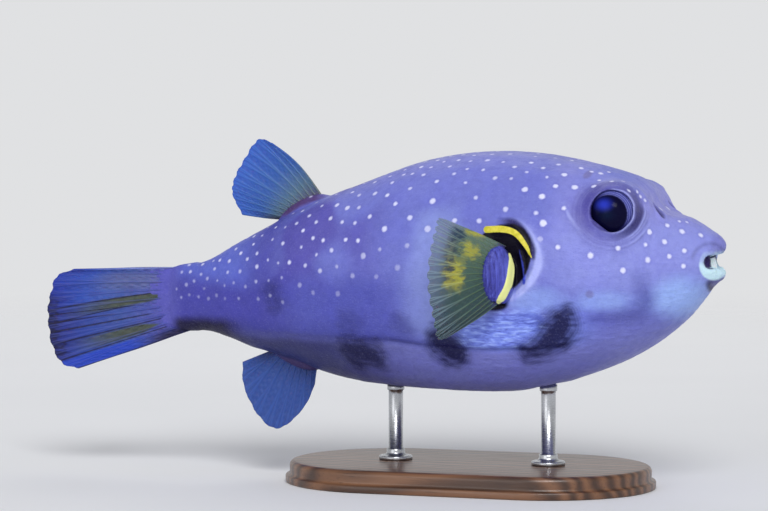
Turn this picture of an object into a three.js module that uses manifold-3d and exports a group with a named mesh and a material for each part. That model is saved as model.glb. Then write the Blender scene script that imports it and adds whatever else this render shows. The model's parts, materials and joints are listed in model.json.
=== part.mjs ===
// A white-spotted pufferfish at life size, held by a display stand.
//
// Millimetres, +Z up. The fish looks along +X and is level across Y, so its right side faces -Y.
// The origin is on the floor under the middle of the fish. The fish is modelled once as a whole
// and parted by thin cuts, so that neighbouring pieces follow one another with a small gap.

import * as THREE from 'three';
import { mergeVertices } from 'three/addons/utils/BufferGeometryUtils.js';
import Module from 'manifold-3d';

const wasm = await Module();
wasm.setup();

// ---------------------------------------------------------------- driving dimensions

const GAP = 0.3; // clearance between neighbouring pieces
const NOSE_X = 150; // front of the lips
const TAIL_TIP_X = -150; // rear edge of the caudal fin
const SNOUT_END_X = 145; // where the body's own flesh ends behind the lips
const STALK_END_X = -88; // where the tail stalk ends and the caudal rays start

// Outline of the body as [x, value], rear to front.
const BACK_LINE = [
  [STALK_END_X, 88.9], [-76, 90.5], [-62, 98], [-40, 109.2], [-20, 118.6], [0, 125.8],
  [20, 133], [40, 137], [62, 138], [85, 135.4], [104, 130.8], [114, 127.8], [119.5, 124],
  [123.5, 118.2], [131, 113.6], [139, 109.2], [SNOUT_END_X, 105.2],
];
const BELLY_LINE = [
  [STALK_END_X, 59.4], [-73, 60.4], [-50, 53], [-34, 50], [-20, 44.4], [3, 40.2], [25, 38.9],
  [48, 38.4], [66, 39.2], [81, 42.2], [98, 48], [114, 55.2], [127, 63.8], [136, 72],
  [SNOUT_END_X, 84],
];
const HALF_WIDTH = [
  [STALK_END_X, 4.6], [-76, 8.2], [-60, 13.6], [-40, 20.8], [-20, 28], [0, 34.2], [25, 40.2],
  [50, 43.2], [70, 43.6], [88, 41.8], [104, 37.6], [116, 32.2], [126, 26], [135, 19.4],
  [141, 15], [SNOUT_END_X, 11.6],
];
const WIDEST_AT = [[STALK_END_X, 0.5], [0, 0.5], [60, 0.47], [110, 0.45], [SNOUT_END_X, 0.5]];
const BACK_SQUARENESS = [[STALK_END_X, 2.2], [0, 2.1], [60, 2.15], [110, 2.6], [SNOUT_END_X, 2.2]];
const BELLY_SQUARENESS = [[STALK_END_X, 2.2], [0, 2.25], [60, 2.35], [110, 2.3], [SNOUT_END_X, 2.1]];

// Cuts that part the body.
const HEAD_CUT_X = 90;
const STALK_CUT_X = -48;
const BELLY_CUT_Z = 60;

const EYE = { x: 109.7, y: 24.4, z: 113.7, radius: 10.6 };
const BROW = { x: 108.6, y: 19, z: 113, radii: [15.6, 15.5, 14] };
const NOSTRIL = { x: 126, y: 17.2, z: 113, length: 2.8, width: 1.2, height: 2, tilt: 0.6 };

const MOUTH = { x: 149, z: 94, radii: [9, 12.6, 4.2] };
const LIP_LINE = { cornerX: 141.2, halfWidth: 8.8, cheekWidth: 6.9, cheekBack: 2.6, cheekRise: 0.75 };
const LIP_CORNER_SIZE = 0.55; // thickness of a lip at its corner against that at the front
const UPPER_LIP = { frontZ: 99.9, cornerZ: 96.4, radius: 3.6, height: 3.9 };
const LOWER_LIP = { frontZ: 88.6, cornerZ: 91.6, radius: 3.1, height: 2.9 };
const TOOTH = { halfWidth: 5, thickness: 1.5, bow: 0.1 };
const UPPER_TOOTH = { from: [144.6, 99.6], to: [144.2, 95.8] };
const LOWER_TOOTH = { from: [146.4, 87.4], to: [145.2, 95.2] };

// The gill opening is a pit in front of the pectoral fin's fleshy base.
const GILL_PIT = { x: 69.6, y: 47, z: 93, radii: [13.6, 8, 19.5] };
const PECTORAL = {
  x: 70.5, y: 42.5, z: 89, sweep: THREE.MathUtils.degToRad(57), rays: 17, curl: 5, flatMiddle: 0.8,
  lobe: { reach: 4.2, radii: [9, 3.8, 12.6] },
  root: [[2, 101], [10, 90], [5, 77.5]],
  edge: [[27, 111.4], [32.5, 111.6], [37, 104], [38.8, 90], [37.4, 76], [33, 65], [27, 64.4]],
};

// Upright fins as [x, z] in the middle plane. Root and edge run from the front ray to the last.
const DORSAL = {
  rays: 11, wave: 1.2,
  root: [[-22.5, 118.4], [-33, 112], [-42, 106.6]],
  edge: [[-49.5, 143], [-56, 138.4], [-61.2, 130], [-63, 121], [-60.2, 110.4]],
  lobe: { from: [-20, 119], to: [-41.5, 108.4], rise: 3.6, halfWidth: 3.4 },
};
const ANAL = {
  rays: 11, wave: -1.2,
  root: [[-25, 47.4], [-34, 51.6], [-43, 54]],
  edge: [[-27.6, 33.6], [-34.6, 25.6], [-42.6, 19.4], [-51.6, 27.6], [-59, 38.6], [-58.8, 49]],
  lobe: { from: [-24.5, 45.6], to: [-43.5, 52.6], rise: 2.8, halfWidth: 3 },
};
const CAUDAL = {
  rays: 10, wave: 1.4,
  root: [[-84, 88.4], [-84, 74], [-84, 60.2]],
  edge: [[-136, 86.2], [-147, 80], [TAIL_TIP_X, 70], [-149.4, 58], [-146, 47.6], [-136, 42.4]],
};
const FIN_THICKNESS = { root: 2.6, edge: 0.7, taper: 0.6, web: 0.72 }; // web is a share of its rays'

const BASE = { x: 42, length: 156, width: 92, height: 9, bevel: 1.5 };
const ROD = { radius: 3, footRadius: 7, footHeight: 2.4, chamfer: 0.8, intoBelly: 6 };
const RODS = { stand_rod_front: 76, stand_rod_back: 10 };

// ---------------------------------------------------------------- materials

const paint = (color, roughness, metalness = 0) =>
  new THREE.MeshStandardMaterial({ color, roughness, metalness });

const SKIN = paint(0x8f8fd6, 0.5);
const BELLY_SKIN = paint(0x6d73b8, 0.5);
const LIP = paint(0xb9cdee, 0.4);
const TOOTH_ENAMEL = paint(0xeef6f4, 0.25);
const EYE_BLACK = paint(0x14163a, 0.08);
const FIN_BLUE = paint(0x4d66b4, 0.4);
const FIN_OLIVE = paint(0x66794f, 0.4);
const WALNUT = paint(0x3a2a22, 0.35);
const STEEL = paint(0xb8bcc2, 0.3, 1);

// ---------------------------------------------------------------- geometry helpers

// A smooth value along x through [x, value] pairs, held level beyond the first and last pair.
function along(pairs) {
  const slope = pairs.map((pair, i) => {
    const before = pairs[Math.max(i - 1, 0)];
    const after = pairs[Math.min(i + 1, pairs.length - 1)];
    return (after[1] - before[1]) / (after[0] - before[0]);
  });
  return (x) => {
    const held = THREE.MathUtils.clamp(x, pairs[0][0], pairs.at(-1)[0]);
    const i = Math.min(pairs.findLastIndex((pair) => pair[0] <= held), pairs.length - 2);
    const span = pairs[i + 1][0] - pairs[i][0];
    const t = (held - pairs[i][0]) / span;
    const rise = pairs[i + 1][1] - pairs[i][1];
    const ease = t * t * (3 - 2 * t);
    const leave = slope[i] * span * t * (1 - t) * (1 - t);
    const arrive = slope[i + 1] * span * t * t * (t - 1);
    return pairs[i][1] + rise * ease + leave + arrive;
  };
}

function geometryFrom(vertices, triangles) {
  const geometry = new THREE.BufferGeometry();
  geometry.setAttribute('position', new THREE.Float32BufferAttribute(vertices.flat(), 3));
  geometry.setIndex(triangles.flat());
  return geometry;
}

// A closed body through equal rings of points, with each end closed by a fan.
function loft(rings) {
  const count = rings[0].length;
  const vertices = rings.flat();
  const triangles = [];
  for (let r = 0; r < rings.length - 1; r += 1) {
    for (let k = 0; k < count; k += 1) {
      const a = r * count + k;
      const b = r * count + ((k + 1) % count);
      triangles.push([a, b, b + count], [a, b + count, a + count]);
    }
  }
  const middle = (ring) => [0, 1, 2].map((axis) => ring.reduce((sum, p) => sum + p[axis], 0) / count);
  const first = vertices.push(middle(rings[0])) - 1;
  const last = vertices.push(middle(rings.at(-1))) - 1;
  const lastRing = (rings.length - 1) * count;
  for (let k = 0; k < count; k += 1) {
    const next = (k + 1) % count;
    triangles.push([first, next, k], [last, lastRing + k, lastRing + next]);
  }
  return geometryFrom(vertices, triangles);
}

// The faces of a solid point out, whichever way round its rings were listed.
function solid(geometry) {
  const bare = geometry.clone();
  bare.deleteAttribute('normal');
  bare.deleteAttribute('uv');
  const merged = mergeVertices(bare, 1e-4);
  const triVerts = new Uint32Array(merged.index.array);
  const make = () => new wasm.Manifold(new wasm.Mesh({
    numProp: 3,
    vertProperties: new Float32Array(merged.attributes.position.array),
    triVerts,
  }));
  const made = make();
  if (made.volume() > 0) {
    return made;
  }
  triVerts.reverse();
  return make();
}

function geometryOf(manifold) {
  const mesh = manifold.getMesh();
  const geometry = new THREE.BufferGeometry();
  geometry.setAttribute('position', new THREE.BufferAttribute(mesh.vertProperties, 3));
  geometry.setIndex(new THREE.BufferAttribute(mesh.triVerts, 1));
  geometry.computeVertexNormals();
  return geometry;
}

function ellipsoid(centre, radii, grow = 0, segments = 16) {
  const geometry = new THREE.SphereGeometry(1, segments, Math.round(segments / 1.6));
  geometry.scale(...radii.map((radius) => radius + grow));
  geometry.translate(...centre);
  return solid(geometry);
}

function block(from, to) {
  const size = to.map((value, axis) => value - from[axis]);
  const geometry = new THREE.BoxGeometry(...size);
  geometry.translate(...from.map((value, axis) => value + size[axis] / 2));
  return solid(geometry);
}

function mirrored(manifold) {
  return manifold.mirror([0, 1, 0]);
}

// A cut can leave tiny chips beside the piece: the piece is the largest body.
function withoutChips(manifold) {
  return manifold.decompose().reduce((best, one) => (one.volume() > best.volume() ? one : best));
}

// ---------------------------------------------------------------- the whole body

const AROUND = 24; // points round a section
const TRUNK_STEP = 10;
const HEAD_STEP = 6;
const END_ROUNDING = [[0.55, 1.9], [0.85, 1.2], [1, 0]]; // [share, shift] of the rings at each end
const backAt = along(BACK_LINE);
const bellyAt = along(BELLY_LINE);
const halfWidthAt = along(HALF_WIDTH);
const widestAt = along(WIDEST_AT);
const backSquareness = along(BACK_SQUARENESS);
const bellySquareness = along(BELLY_SQUARENESS);

// A section is a super-ellipse, with one squareness above its widest height and one below.
const squared = (value, power) => Math.sign(value) * Math.abs(value) ** (2 / power);

// share shrinks the ring about its middle and shift moves it along, to round off an end.
function bodyRing(x, grow, share = 1, shift = 0) {
  const low = bellyAt(x) - grow;
  const high = backAt(x) + grow;
  const side = low + (high - low) * widestAt(x);
  const ring = [];
  for (let k = 0; k < AROUND; k += 1) {
    const angle = (2 * Math.PI * k) / AROUND;
    const upper = angle <= Math.PI;
    const power = upper ? backSquareness(x) : bellySquareness(x);
    const reach = upper ? high - side : side - low;
    const y = (halfWidthAt(x) + grow) * squared(Math.cos(angle), power) * share;
    const z = side + reach * squared(Math.sin(angle), power) * share;
    ring.push([x + shift, y, z]);
  }
  return ring;
}

function body(grow = 0) {
  const rings = END_ROUNDING.map(([share, shift]) => bodyRing(STALK_END_X, grow, share, -shift - grow));
  for (let x = STALK_END_X + HEAD_STEP; x < SNOUT_END_X; x += x < HEAD_CUT_X ? TRUNK_STEP : HEAD_STEP) {
    rings.push(bodyRing(x, grow));
  }
  for (const [share, shift] of END_ROUNDING.toReversed()) {
    rings.push(bodyRing(SNOUT_END_X, grow, share, shift + grow));
  }
  return solid(loft(rings));
}

const brow = (grow = 0) => ellipsoid([BROW.x, -BROW.y, BROW.z], BROW.radii, grow, 17);
const headSurface = (grow = 0) => body(grow).add(brow(grow)).add(mirrored(brow(grow)));

// ---------------------------------------------------------------- mouth

// A lip is a tapered roll from one corner of the mouth round the front to the other.
function lip({ frontZ, cornerZ, radius, height }, grow = 0) {
  const { cornerX, halfWidth, cheekWidth, cheekBack, cheekRise } = LIP_LINE;
  const frontX = NOSE_X - radius;
  const cheekZ = THREE.MathUtils.lerp(cornerZ, frontZ, cheekRise);
  const path = new THREE.CatmullRomCurve3([
    new THREE.Vector3(cornerX, -halfWidth, cornerZ),
    new THREE.Vector3(frontX - cheekBack, -cheekWidth, cheekZ),
    new THREE.Vector3(frontX, 0, frontZ),
    new THREE.Vector3(frontX - cheekBack, cheekWidth, cheekZ),
    new THREE.Vector3(cornerX, halfWidth, cornerZ),
  ]);
  const steps = 10;
  const sides = 7;
  const rings = [];
  for (let i = 0; i <= steps; i += 1) {
    const t = i / steps;
    const at = path.getPoint(t);
    const forward = path.getTangent(t);
    const outward = new THREE.Vector3(forward.y, -forward.x, 0).normalize();
    const swell = THREE.MathUtils.lerp(LIP_CORNER_SIZE, 1, Math.sin(Math.PI * t) ** 0.7);
    const ring = [];
    for (let k = 0; k < sides; k += 1) {
      const angle = (2 * Math.PI * k) / sides;
      const out = (radius * swell + grow) * Math.cos(angle);
      const up = (height * swell + grow) * Math.sin(angle);
      ring.push([at.x + outward.x * out, at.y + outward.y * out, at.z + up]);
    }
    rings.push(ring);
  }
  return solid(loft(rings));
}

// Each jaw has two beak plates that meet in the middle plane. A plate leans from its root to its
// biting edge, both given as [x, z] of its front face, and bows back to the side.
function tooth({ from, to }, grow = 0) {
  const steps = 3;
  const rise = Math.sign(to[1] - from[1]) * grow;
  const back = TOOTH.thickness + grow;
  const rings = [];
  for (let i = 0; i <= steps; i += 1) {
    const start = GAP / 2 - grow;
    const y = start + ((TOOTH.halfWidth + grow - start) * i) / steps;
    const bow = TOOTH.bow * y * y;
    const root = [from[0] - bow, from[1] - rise];
    const edge = [to[0] - bow, to[1] + rise];
    rings.push([
      [root[0] + grow, -y, root[1]], [edge[0] + grow, -y, edge[1]],
      [edge[0] - back, -y, edge[1]], [root[0] - back, -y, root[1]],
    ]);
  }
  return solid(loft(rings));
}

// ---------------------------------------------------------------- fins

// A fin is a thin plate from its root to its edge, thicker along each ray than in the web between.
// place(s, t) gives a point of its middle surface: s runs over the rays, t from root to edge.
function fin(rays, place) {
  const rows = 2;
  const step = 0.01;
  const columns = 2 * (rays - 1);
  const sides = [[], []];
  for (let i = 0; i <= columns; i += 1) {
    for (let j = 0; j <= rows; j += 1) {
      const s = i / columns;
      const t = j / rows;
      const across = place(Math.min(s + step, 1), t).sub(place(Math.max(s - step, 0), t));
      const outward = place(s, Math.min(t + step, 1)).sub(place(s, Math.max(t - step, 0)));
      const normal = across.cross(outward).normalize();
      const { root, edge, taper, web } = FIN_THICKNESS;
      const thickness = THREE.MathUtils.lerp(root, edge, t ** taper) * (i % 2 === 0 ? 1 : web);
      const at = place(s, t);
      sides[0].push(at.clone().addScaledVector(normal, thickness / 2).toArray());
      sides[1].push(at.clone().addScaledVector(normal, -thickness / 2).toArray());
    }
  }
  const perSide = sides[0].length;
  const index = (i, j, side) => side * perSide + i * (rows + 1) + j;
  const triangles = [];
  const quad = (a, b, c, d) => triangles.push([a, b, c], [a, c, d]);
  for (let i = 0; i < columns; i += 1) {
    for (let j = 0; j < rows; j += 1) {
      quad(index(i, j, 0), index(i + 1, j, 0), index(i + 1, j + 1, 0), index(i, j + 1, 0));
      quad(index(i, j, 1), index(i, j + 1, 1), index(i + 1, j + 1, 1), index(i + 1, j, 1));
    }
    quad(index(i, 0, 1), index(i + 1, 0, 1), index(i + 1, 0, 0), index(i, 0, 0));
    quad(index(i, rows, 0), index(i + 1, rows, 0), index(i + 1, rows, 1), index(i, rows, 1));
  }
  for (let j = 0; j < rows; j += 1) {
    quad(index(0, j, 0), index(0, j + 1, 0), index(0, j + 1, 1), index(0, j, 1));
    quad(index(columns, j, 1), index(columns, j + 1, 1), index(columns, j + 1, 0), index(columns, j, 0));
  }
  return solid(geometryFrom(sides.flat(), triangles));
}

const uprightCurve = (pairs) => new THREE.CatmullRomCurve3(pairs.map(([x, z]) => new THREE.Vector3(x, 0, z)));

function uprightFin({ rays, wave, root, edge }) {
  const rootCurve = uprightCurve(root);
  const edgeCurve = uprightCurve(edge);
  return fin(rays, (s, t) => {
    const at = rootCurve.getPoint(s).lerp(edgeCurve.getPoint(s), t);
    at.y += wave * t * Math.sin(2 * Math.PI * s);
    return at;
  });
}

// The fleshy ridge that an upright fin grows from.
function finLobe({ from, to, rise, halfWidth }, grow = 0) {
  const middle = from.map((value, axis) => (value + to[axis]) / 2);
  const run = [from[0] - to[0], from[1] - to[1]];
  const geometry = new THREE.SphereGeometry(1, 12, 7);
  geometry.scale(Math.hypot(...run) / 2 + grow, halfWidth + grow, rise + grow);
  geometry.rotateY(-Math.atan2(run[1], run[0]));
  geometry.translate(middle[0], 0, middle[1]);
  return solid(geometry);
}

const sweepOut = new THREE.Vector3(-Math.cos(PECTORAL.sweep), -Math.sin(PECTORAL.sweep), 0);
const sweepBack = new THREE.Vector3(-Math.sin(PECTORAL.sweep), Math.cos(PECTORAL.sweep), 0);

function pectoralFin() {
  const curve = (pairs) => new THREE.CatmullRomCurve3(pairs.map(([reach, z]) => (
    new THREE.Vector3(PECTORAL.x, -PECTORAL.y, z).addScaledVector(sweepOut, reach))));
  const rootCurve = curve(PECTORAL.root);
  const edgeCurve = curve(PECTORAL.edge);
  return fin(PECTORAL.rays, (s, t) => {
    const cup = PECTORAL.curl * t * t * (1 - PECTORAL.flatMiddle * Math.sin(Math.PI * s));
    return rootCurve.getPoint(s).lerp(edgeCurve.getPoint(s), t).addScaledVector(sweepBack, cup);
  });
}

function pectoralLobe(grow = 0) {
  const { reach, radii } = PECTORAL.lobe;
  const geometry = new THREE.SphereGeometry(1, 11, 8);
  geometry.scale(...radii.map((radius) => radius + grow));
  geometry.rotateZ(PECTORAL.sweep);
  const at = new THREE.Vector3(PECTORAL.x, -PECTORAL.y, PECTORAL.z).addScaledVector(sweepOut, reach);
  geometry.translate(at.x, at.y, at.z);
  return solid(geometry);
}

// Two small flaps stand side by side at the nostril.
function nostrilFlaps() {
  const spread = NOSTRIL.width * 0.7;
  const flap = (offset) => {
    const geometry = new THREE.SphereGeometry(1, 6, 5);
    geometry.scale(NOSTRIL.length, NOSTRIL.width, NOSTRIL.height);
    geometry.translate(0, offset, 0);
    geometry.rotateY(NOSTRIL.tilt);
    geometry.translate(NOSTRIL.x, -NOSTRIL.y, NOSTRIL.z);
    return solid(geometry);
  };
  return flap(-spread).add(flap(spread));
}

// ---------------------------------------------------------------- stand

function standBase() {
  const inset = BASE.bevel;
  const radius = BASE.width / 2 - inset;
  const reach = BASE.length / 2 - inset - radius;
  const outline = new THREE.Shape();
  outline.absarc(reach, 0, radius, -Math.PI / 2, Math.PI / 2);
  outline.absarc(-reach, 0, radius, Math.PI / 2, (3 * Math.PI) / 2);
  const depth = BASE.height - 2 * inset;
  const bevel = { bevelThickness: inset, bevelSize: inset, bevelSegments: 1 };
  const geometry = new THREE.ExtrudeGeometry(outline, { depth, curveSegments: 11, ...bevel });
  geometry.translate(BASE.x, 0, inset);
  return geometry;
}

// A rod with a round foot, lathed about its own axis.
function rod(x, grow = 0) {
  const radius = ROD.radius + grow;
  const top = bellyAt(x) + ROD.intoBelly + grow;
  const foot = BASE.height + ROD.footHeight;
  const profile = [
    [0, BASE.height], [ROD.footRadius, BASE.height], [ROD.footRadius, foot - ROD.chamfer],
    [ROD.footRadius - ROD.chamfer, foot], [radius, foot], [radius, top - ROD.chamfer],
    [radius - ROD.chamfer, top], [0, top],
  ];
  const geometry = new THREE.LatheGeometry(profile.map(([r, z]) => new THREE.Vector2(r, z)), 12);
  geometry.rotateX(Math.PI / 2);
  geometry.translate(x, 0, 0);
  return solid(geometry);
}

// ---------------------------------------------------------------- parting the fish into its pieces

const FAR = 400; // beyond every piece
const slab = (from, to) => block([from, -FAR, -FAR], [to, FAR, FAR]);
const under = (z) => block([-FAR, -FAR, -FAR], [FAR, FAR, z]);
const over = (z) => block([-FAR, -FAR, z], [FAR, FAR, FAR]);
const bothSides = (made) => made.add(mirrored(made));

const whole = headSurface();
const grownBody = headSurface(GAP);
const eyeBall = (grow = 0) => ellipsoid([EYE.x, -EYE.y, EYE.z], Array(3).fill(EYE.radius), grow, 15);
const gillPit = ellipsoid([GILL_PIT.x, -GILL_PIT.y, GILL_PIT.z], GILL_PIT.radii);
const mouthHollow = ellipsoid([MOUTH.x, 0, MOUTH.z], MOUTH.radii, 0, 12);
const upperTooth = tooth(UPPER_TOOTH);
const lowerTooth = tooth(LOWER_TOOTH);
const toothSockets = bothSides(tooth(UPPER_TOOTH, GAP).add(tooth(LOWER_TOOTH, GAP)));
const rods = Object.entries(RODS).map(([name, x]) => [name, rod(x)]);
const rodHoles = Object.values(RODS).map((x) => rod(x, GAP)).reduce((all, one) => all.add(one));

const head = whole.intersect(slab(HEAD_CUT_X + GAP / 2, FAR))
  .subtract(bothSides(eyeBall(GAP)))
  .subtract(mouthHollow)
  .subtract(lip(UPPER_LIP, GAP))
  .subtract(lip(LOWER_LIP, GAP))
  .subtract(toothSockets);

const middle = whole.intersect(slab(STALK_CUT_X + GAP / 2, HEAD_CUT_X - GAP / 2))
  .subtract(bothSides(gillPit.add(pectoralLobe(GAP))));
const trunk = middle.intersect(over(BELLY_CUT_Z + GAP / 2));
const belly = middle.intersect(under(BELLY_CUT_Z - GAP / 2)).subtract(rodHoles);
const stalk = whole.intersect(slab(-FAR, STALK_CUT_X - GAP / 2));

const cut = (made, ...cutters) => withoutChips(cutters.reduce((left, cutter) => left.subtract(cutter), made));
const dorsalLobe = cut(finLobe(DORSAL.lobe), grownBody);
const dorsalFin = cut(uprightFin(DORSAL), grownBody, finLobe(DORSAL.lobe, GAP));
const analLobe = cut(finLobe(ANAL.lobe), grownBody);
const analFin = cut(uprightFin(ANAL), grownBody, finLobe(ANAL.lobe, GAP));
const caudalFin = cut(uprightFin(CAUDAL), grownBody);
const pectoral = cut(pectoralFin(), pectoralLobe(GAP), grownBody);
const upperLip = cut(lip(UPPER_LIP), toothSockets, lip(LOWER_LIP, GAP));
const lowerLip = cut(lip(LOWER_LIP), toothSockets);
const nostril = cut(nostrilFlaps(), grownBody);

// ---------------------------------------------------------------- the scene graph

const fish = new THREE.Group();
const stand = new THREE.Group();

function put(group, name, geometry, material) {
  const mesh = new THREE.Mesh(geometry, material);
  mesh.name = name;
  group.add(mesh);
}

function putPair(name, made, material) {
  put(fish, `${name}_right`, geometryOf(made), material);
  put(fish, `${name}_left`, geometryOf(mirrored(made)), material);
}

put(fish, 'head', geometryOf(head), SKIN);
put(fish, 'trunk', geometryOf(trunk), SKIN);
put(fish, 'belly', geometryOf(belly), BELLY_SKIN);
put(fish, 'tail_stalk', geometryOf(stalk), SKIN);
put(fish, 'upper_lip', geometryOf(upperLip), LIP);
put(fish, 'lower_lip', geometryOf(lowerLip), LIP);
put(fish, 'dorsal_fin_base', geometryOf(dorsalLobe), SKIN);
put(fish, 'dorsal_fin', geometryOf(dorsalFin), FIN_BLUE);
put(fish, 'anal_fin_base', geometryOf(analLobe), SKIN);
put(fish, 'anal_fin', geometryOf(analFin), FIN_BLUE);
put(fish, 'caudal_fin', geometryOf(caudalFin), FIN_BLUE);
putPair('upper_tooth', upperTooth, TOOTH_ENAMEL);
putPair('lower_tooth', lowerTooth, TOOTH_ENAMEL);
putPair('eye', eyeBall(), EYE_BLACK);
putPair('nostril', nostril, SKIN);
putPair('pectoral_base', pectoralLobe(), SKIN);
putPair('pectoral_fin', pectoral, FIN_OLIVE);

put(stand, 'stand_base', standBase(), WALNUT);
for (const [name, made] of rods) {
  put(stand, name, geometryOf(made), STEEL);
}

const model = new THREE.Group();
model.add(fish, stand);

export default model;
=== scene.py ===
"""The looks of a white-spotted pufferfish on a display stand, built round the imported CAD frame.

Shapes are worked out in millimetres and written to Blender in metres. The fish is symmetrical, so the
skin's features are placed in folded coordinates (x, |y|, z), where both sides fall on each other.
"""
import json
import math

import bpy
import numpy as np
import openvdb
from mathutils import Euler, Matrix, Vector

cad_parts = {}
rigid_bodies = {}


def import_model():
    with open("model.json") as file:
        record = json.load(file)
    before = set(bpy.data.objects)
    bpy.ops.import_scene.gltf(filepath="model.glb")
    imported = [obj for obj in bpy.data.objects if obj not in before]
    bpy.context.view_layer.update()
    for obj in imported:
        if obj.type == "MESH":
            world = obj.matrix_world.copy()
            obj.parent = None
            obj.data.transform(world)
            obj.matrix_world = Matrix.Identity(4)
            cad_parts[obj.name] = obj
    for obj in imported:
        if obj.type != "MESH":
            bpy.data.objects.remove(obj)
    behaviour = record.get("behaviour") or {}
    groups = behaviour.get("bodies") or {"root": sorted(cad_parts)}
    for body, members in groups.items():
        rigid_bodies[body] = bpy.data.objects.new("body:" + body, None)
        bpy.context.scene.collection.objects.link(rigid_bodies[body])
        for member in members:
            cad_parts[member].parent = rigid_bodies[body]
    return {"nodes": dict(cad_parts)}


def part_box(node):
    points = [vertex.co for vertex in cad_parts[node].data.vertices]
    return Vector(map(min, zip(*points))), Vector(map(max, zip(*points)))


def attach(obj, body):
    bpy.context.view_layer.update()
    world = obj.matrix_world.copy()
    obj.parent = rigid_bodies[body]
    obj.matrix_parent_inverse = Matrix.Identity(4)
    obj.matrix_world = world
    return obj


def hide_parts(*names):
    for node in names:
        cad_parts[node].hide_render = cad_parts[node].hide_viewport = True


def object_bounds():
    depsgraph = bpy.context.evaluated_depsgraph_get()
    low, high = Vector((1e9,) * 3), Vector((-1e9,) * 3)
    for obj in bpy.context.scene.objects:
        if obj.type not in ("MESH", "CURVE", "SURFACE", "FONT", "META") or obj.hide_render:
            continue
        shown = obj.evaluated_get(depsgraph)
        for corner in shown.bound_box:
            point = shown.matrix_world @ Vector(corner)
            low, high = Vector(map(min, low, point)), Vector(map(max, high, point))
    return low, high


for stray in list(bpy.data.objects):
    bpy.data.objects.remove(stray)
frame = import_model()
cad_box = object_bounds()

MM = 0.001
NODES = frame["nodes"]
UP = np.array([0.0, 0.0, 1.0])


# ---------------- sizes and places, in millimetres

def corners(node):
    low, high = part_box(node)
    return np.array(low) / MM, np.array(high) / MM


def middle(node):
    low, high = corners(node)
    return (low + high) / 2


def around(names, margin):
    """The box of some nodes with a margin."""
    lows, highs = zip(*(corners(name) for name in names))
    return np.min(lows, axis=0) - margin, np.max(highs, axis=0) + margin


def folded(points):
    """One point or many, with the left side laid on the right one."""
    return np.concatenate([points[..., :1], np.abs(points[..., 1:2]), points[..., 2:]], axis=-1)


def unit(*parts):
    return np.array(parts) / np.linalg.norm(parts)


FLESH = ("head", "trunk", "belly", "tail_stalk")
FIN_BASES = ("dorsal_fin_base", "anal_fin_base")
PECTORAL_BASES = ("pectoral_base_right", "pectoral_base_left")
LIPS = ("upper_lip", "lower_lip")
NOSTRILS = ("nostril_right", "nostril_left")
EYES = ("eye_right", "eye_left")

EYE = folded(middle("eye_right"))
EYE_RADIUS = (corners("eye_right")[1][2] - corners("eye_right")[0][2]) / 2
EYE_AXIS = unit(0.14, 0.985, 0.09)
EYE_UP = unit(*np.cross(np.cross(EYE_AXIS, UP), EYE_AXIS))
EYE_FRONT = np.cross(EYE_AXIS, EYE_UP)
APERTURE = 8.3
LID = 1.3
LID_LEFT = 0.75
SADDLE = EYE + (23.4, -18.4, 7.6)
SADDLE_SIZE = (12.0, 24.0, 9.5)
BROW_CUT_RADIUS = 14
BROW_CUT = EYE + unit(0.90, 0.20, 0.39) * (EYE_RADIUS + LID + BROW_CUT_RADIUS - 1)
NOSE_X = corners("upper_lip")[1][0]
MOUTH_Z = (corners("upper_lip")[0][2] + corners("lower_lip")[1][2]) / 2
MOUTH_CORNER = np.array([NOSE_X - 4.9, 9.2, MOUTH_Z])
MOUTH_HOLLOW = np.array([2.7, 4.4, 2.8])
GUM = np.array([NOSE_X - 8.0, 5.4, MOUTH_Z - 0.2])
GUM_SIZE = np.array([2.5, 2.6, 3.6])
FOLD_Z = corners("belly")[1][2] + 0.7
STALK_END = corners("tail_stalk")[0][0] + 4
STALK_Z = corners("caudal_fin")[1][2] - 12.9
STALK_HALF_HEIGHT = 12.6
FIN_ROOT_REACH = 15.5
PECTORAL = folded(middle("pectoral_base_right"))

VOXEL = 0.65
BAND = 9.0


# ---------------- small maths

def srgb(*screen):
    """A screen colour of 0 to 255 as the linear colour that shaders take."""
    return tuple(((c / 255 + 0.055) / 1.055) ** 2.4 if c > 10.3 else c / 255 / 12.92 for c in screen)


def smooth(low, high, value):
    """0 below low, 1 above high and a smooth step between. low may be the larger one."""
    t = np.clip((value - low) / (high - low), 0.0, 1.0)
    return t * t * (3 - 2 * t)


def hump(value, width):
    return np.exp(-(value / width) ** 2)


def length(vectors):
    return np.linalg.norm(vectors, axis=1)


def oval(points, centre, radii):
    """How many radii each point is from a centre: 1 on the edge of the oval."""
    return length((points - centre) / radii)


TILT = np.array(Euler((0.6, 0.5, 0.7)).to_matrix())


class Noise:
    """Smooth value noise from 0 to 1 on a repeating lattice, the same on every run."""

    SIZE = 32

    def __init__(self, seed):
        self.lattice = np.random.default_rng(seed).random(self.SIZE**3, dtype=np.float32)

    def __call__(self, points, scale):
        if np.ndim(scale) == 0:
            points = points @ TILT
        at = (points / np.asarray(scale)).astype(np.float32)
        cell = np.floor(at)
        part = at - cell
        across, along, upward = (part * part * (3 - 2 * part)).T
        low = cell.astype(np.int32) % self.SIZE
        high = (low + 1) % self.SIZE
        planes = [(low[:, k] * self.SIZE ** (2 - k), high[:, k] * self.SIZE ** (2 - k)) for k in range(3)]

        def between(second, third):
            rest = planes[1][second] + planes[2][third]
            near, far = (self.lattice[planes[0][k] + rest] for k in (0, 1))
            return near + (far - near) * across
        front = between(0, 0) * (1 - along) + between(1, 0) * along
        back = between(0, 1) * (1 - along) + between(1, 1) * along
        return front * (1 - upward) + back * upward


NOISE = [Noise(seed) for seed in (11, 23, 37)]


def sway(p, which, scale):
    """Noise from -0.5 to 0.5."""
    return NOISE[which](p, scale) - 0.5


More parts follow.
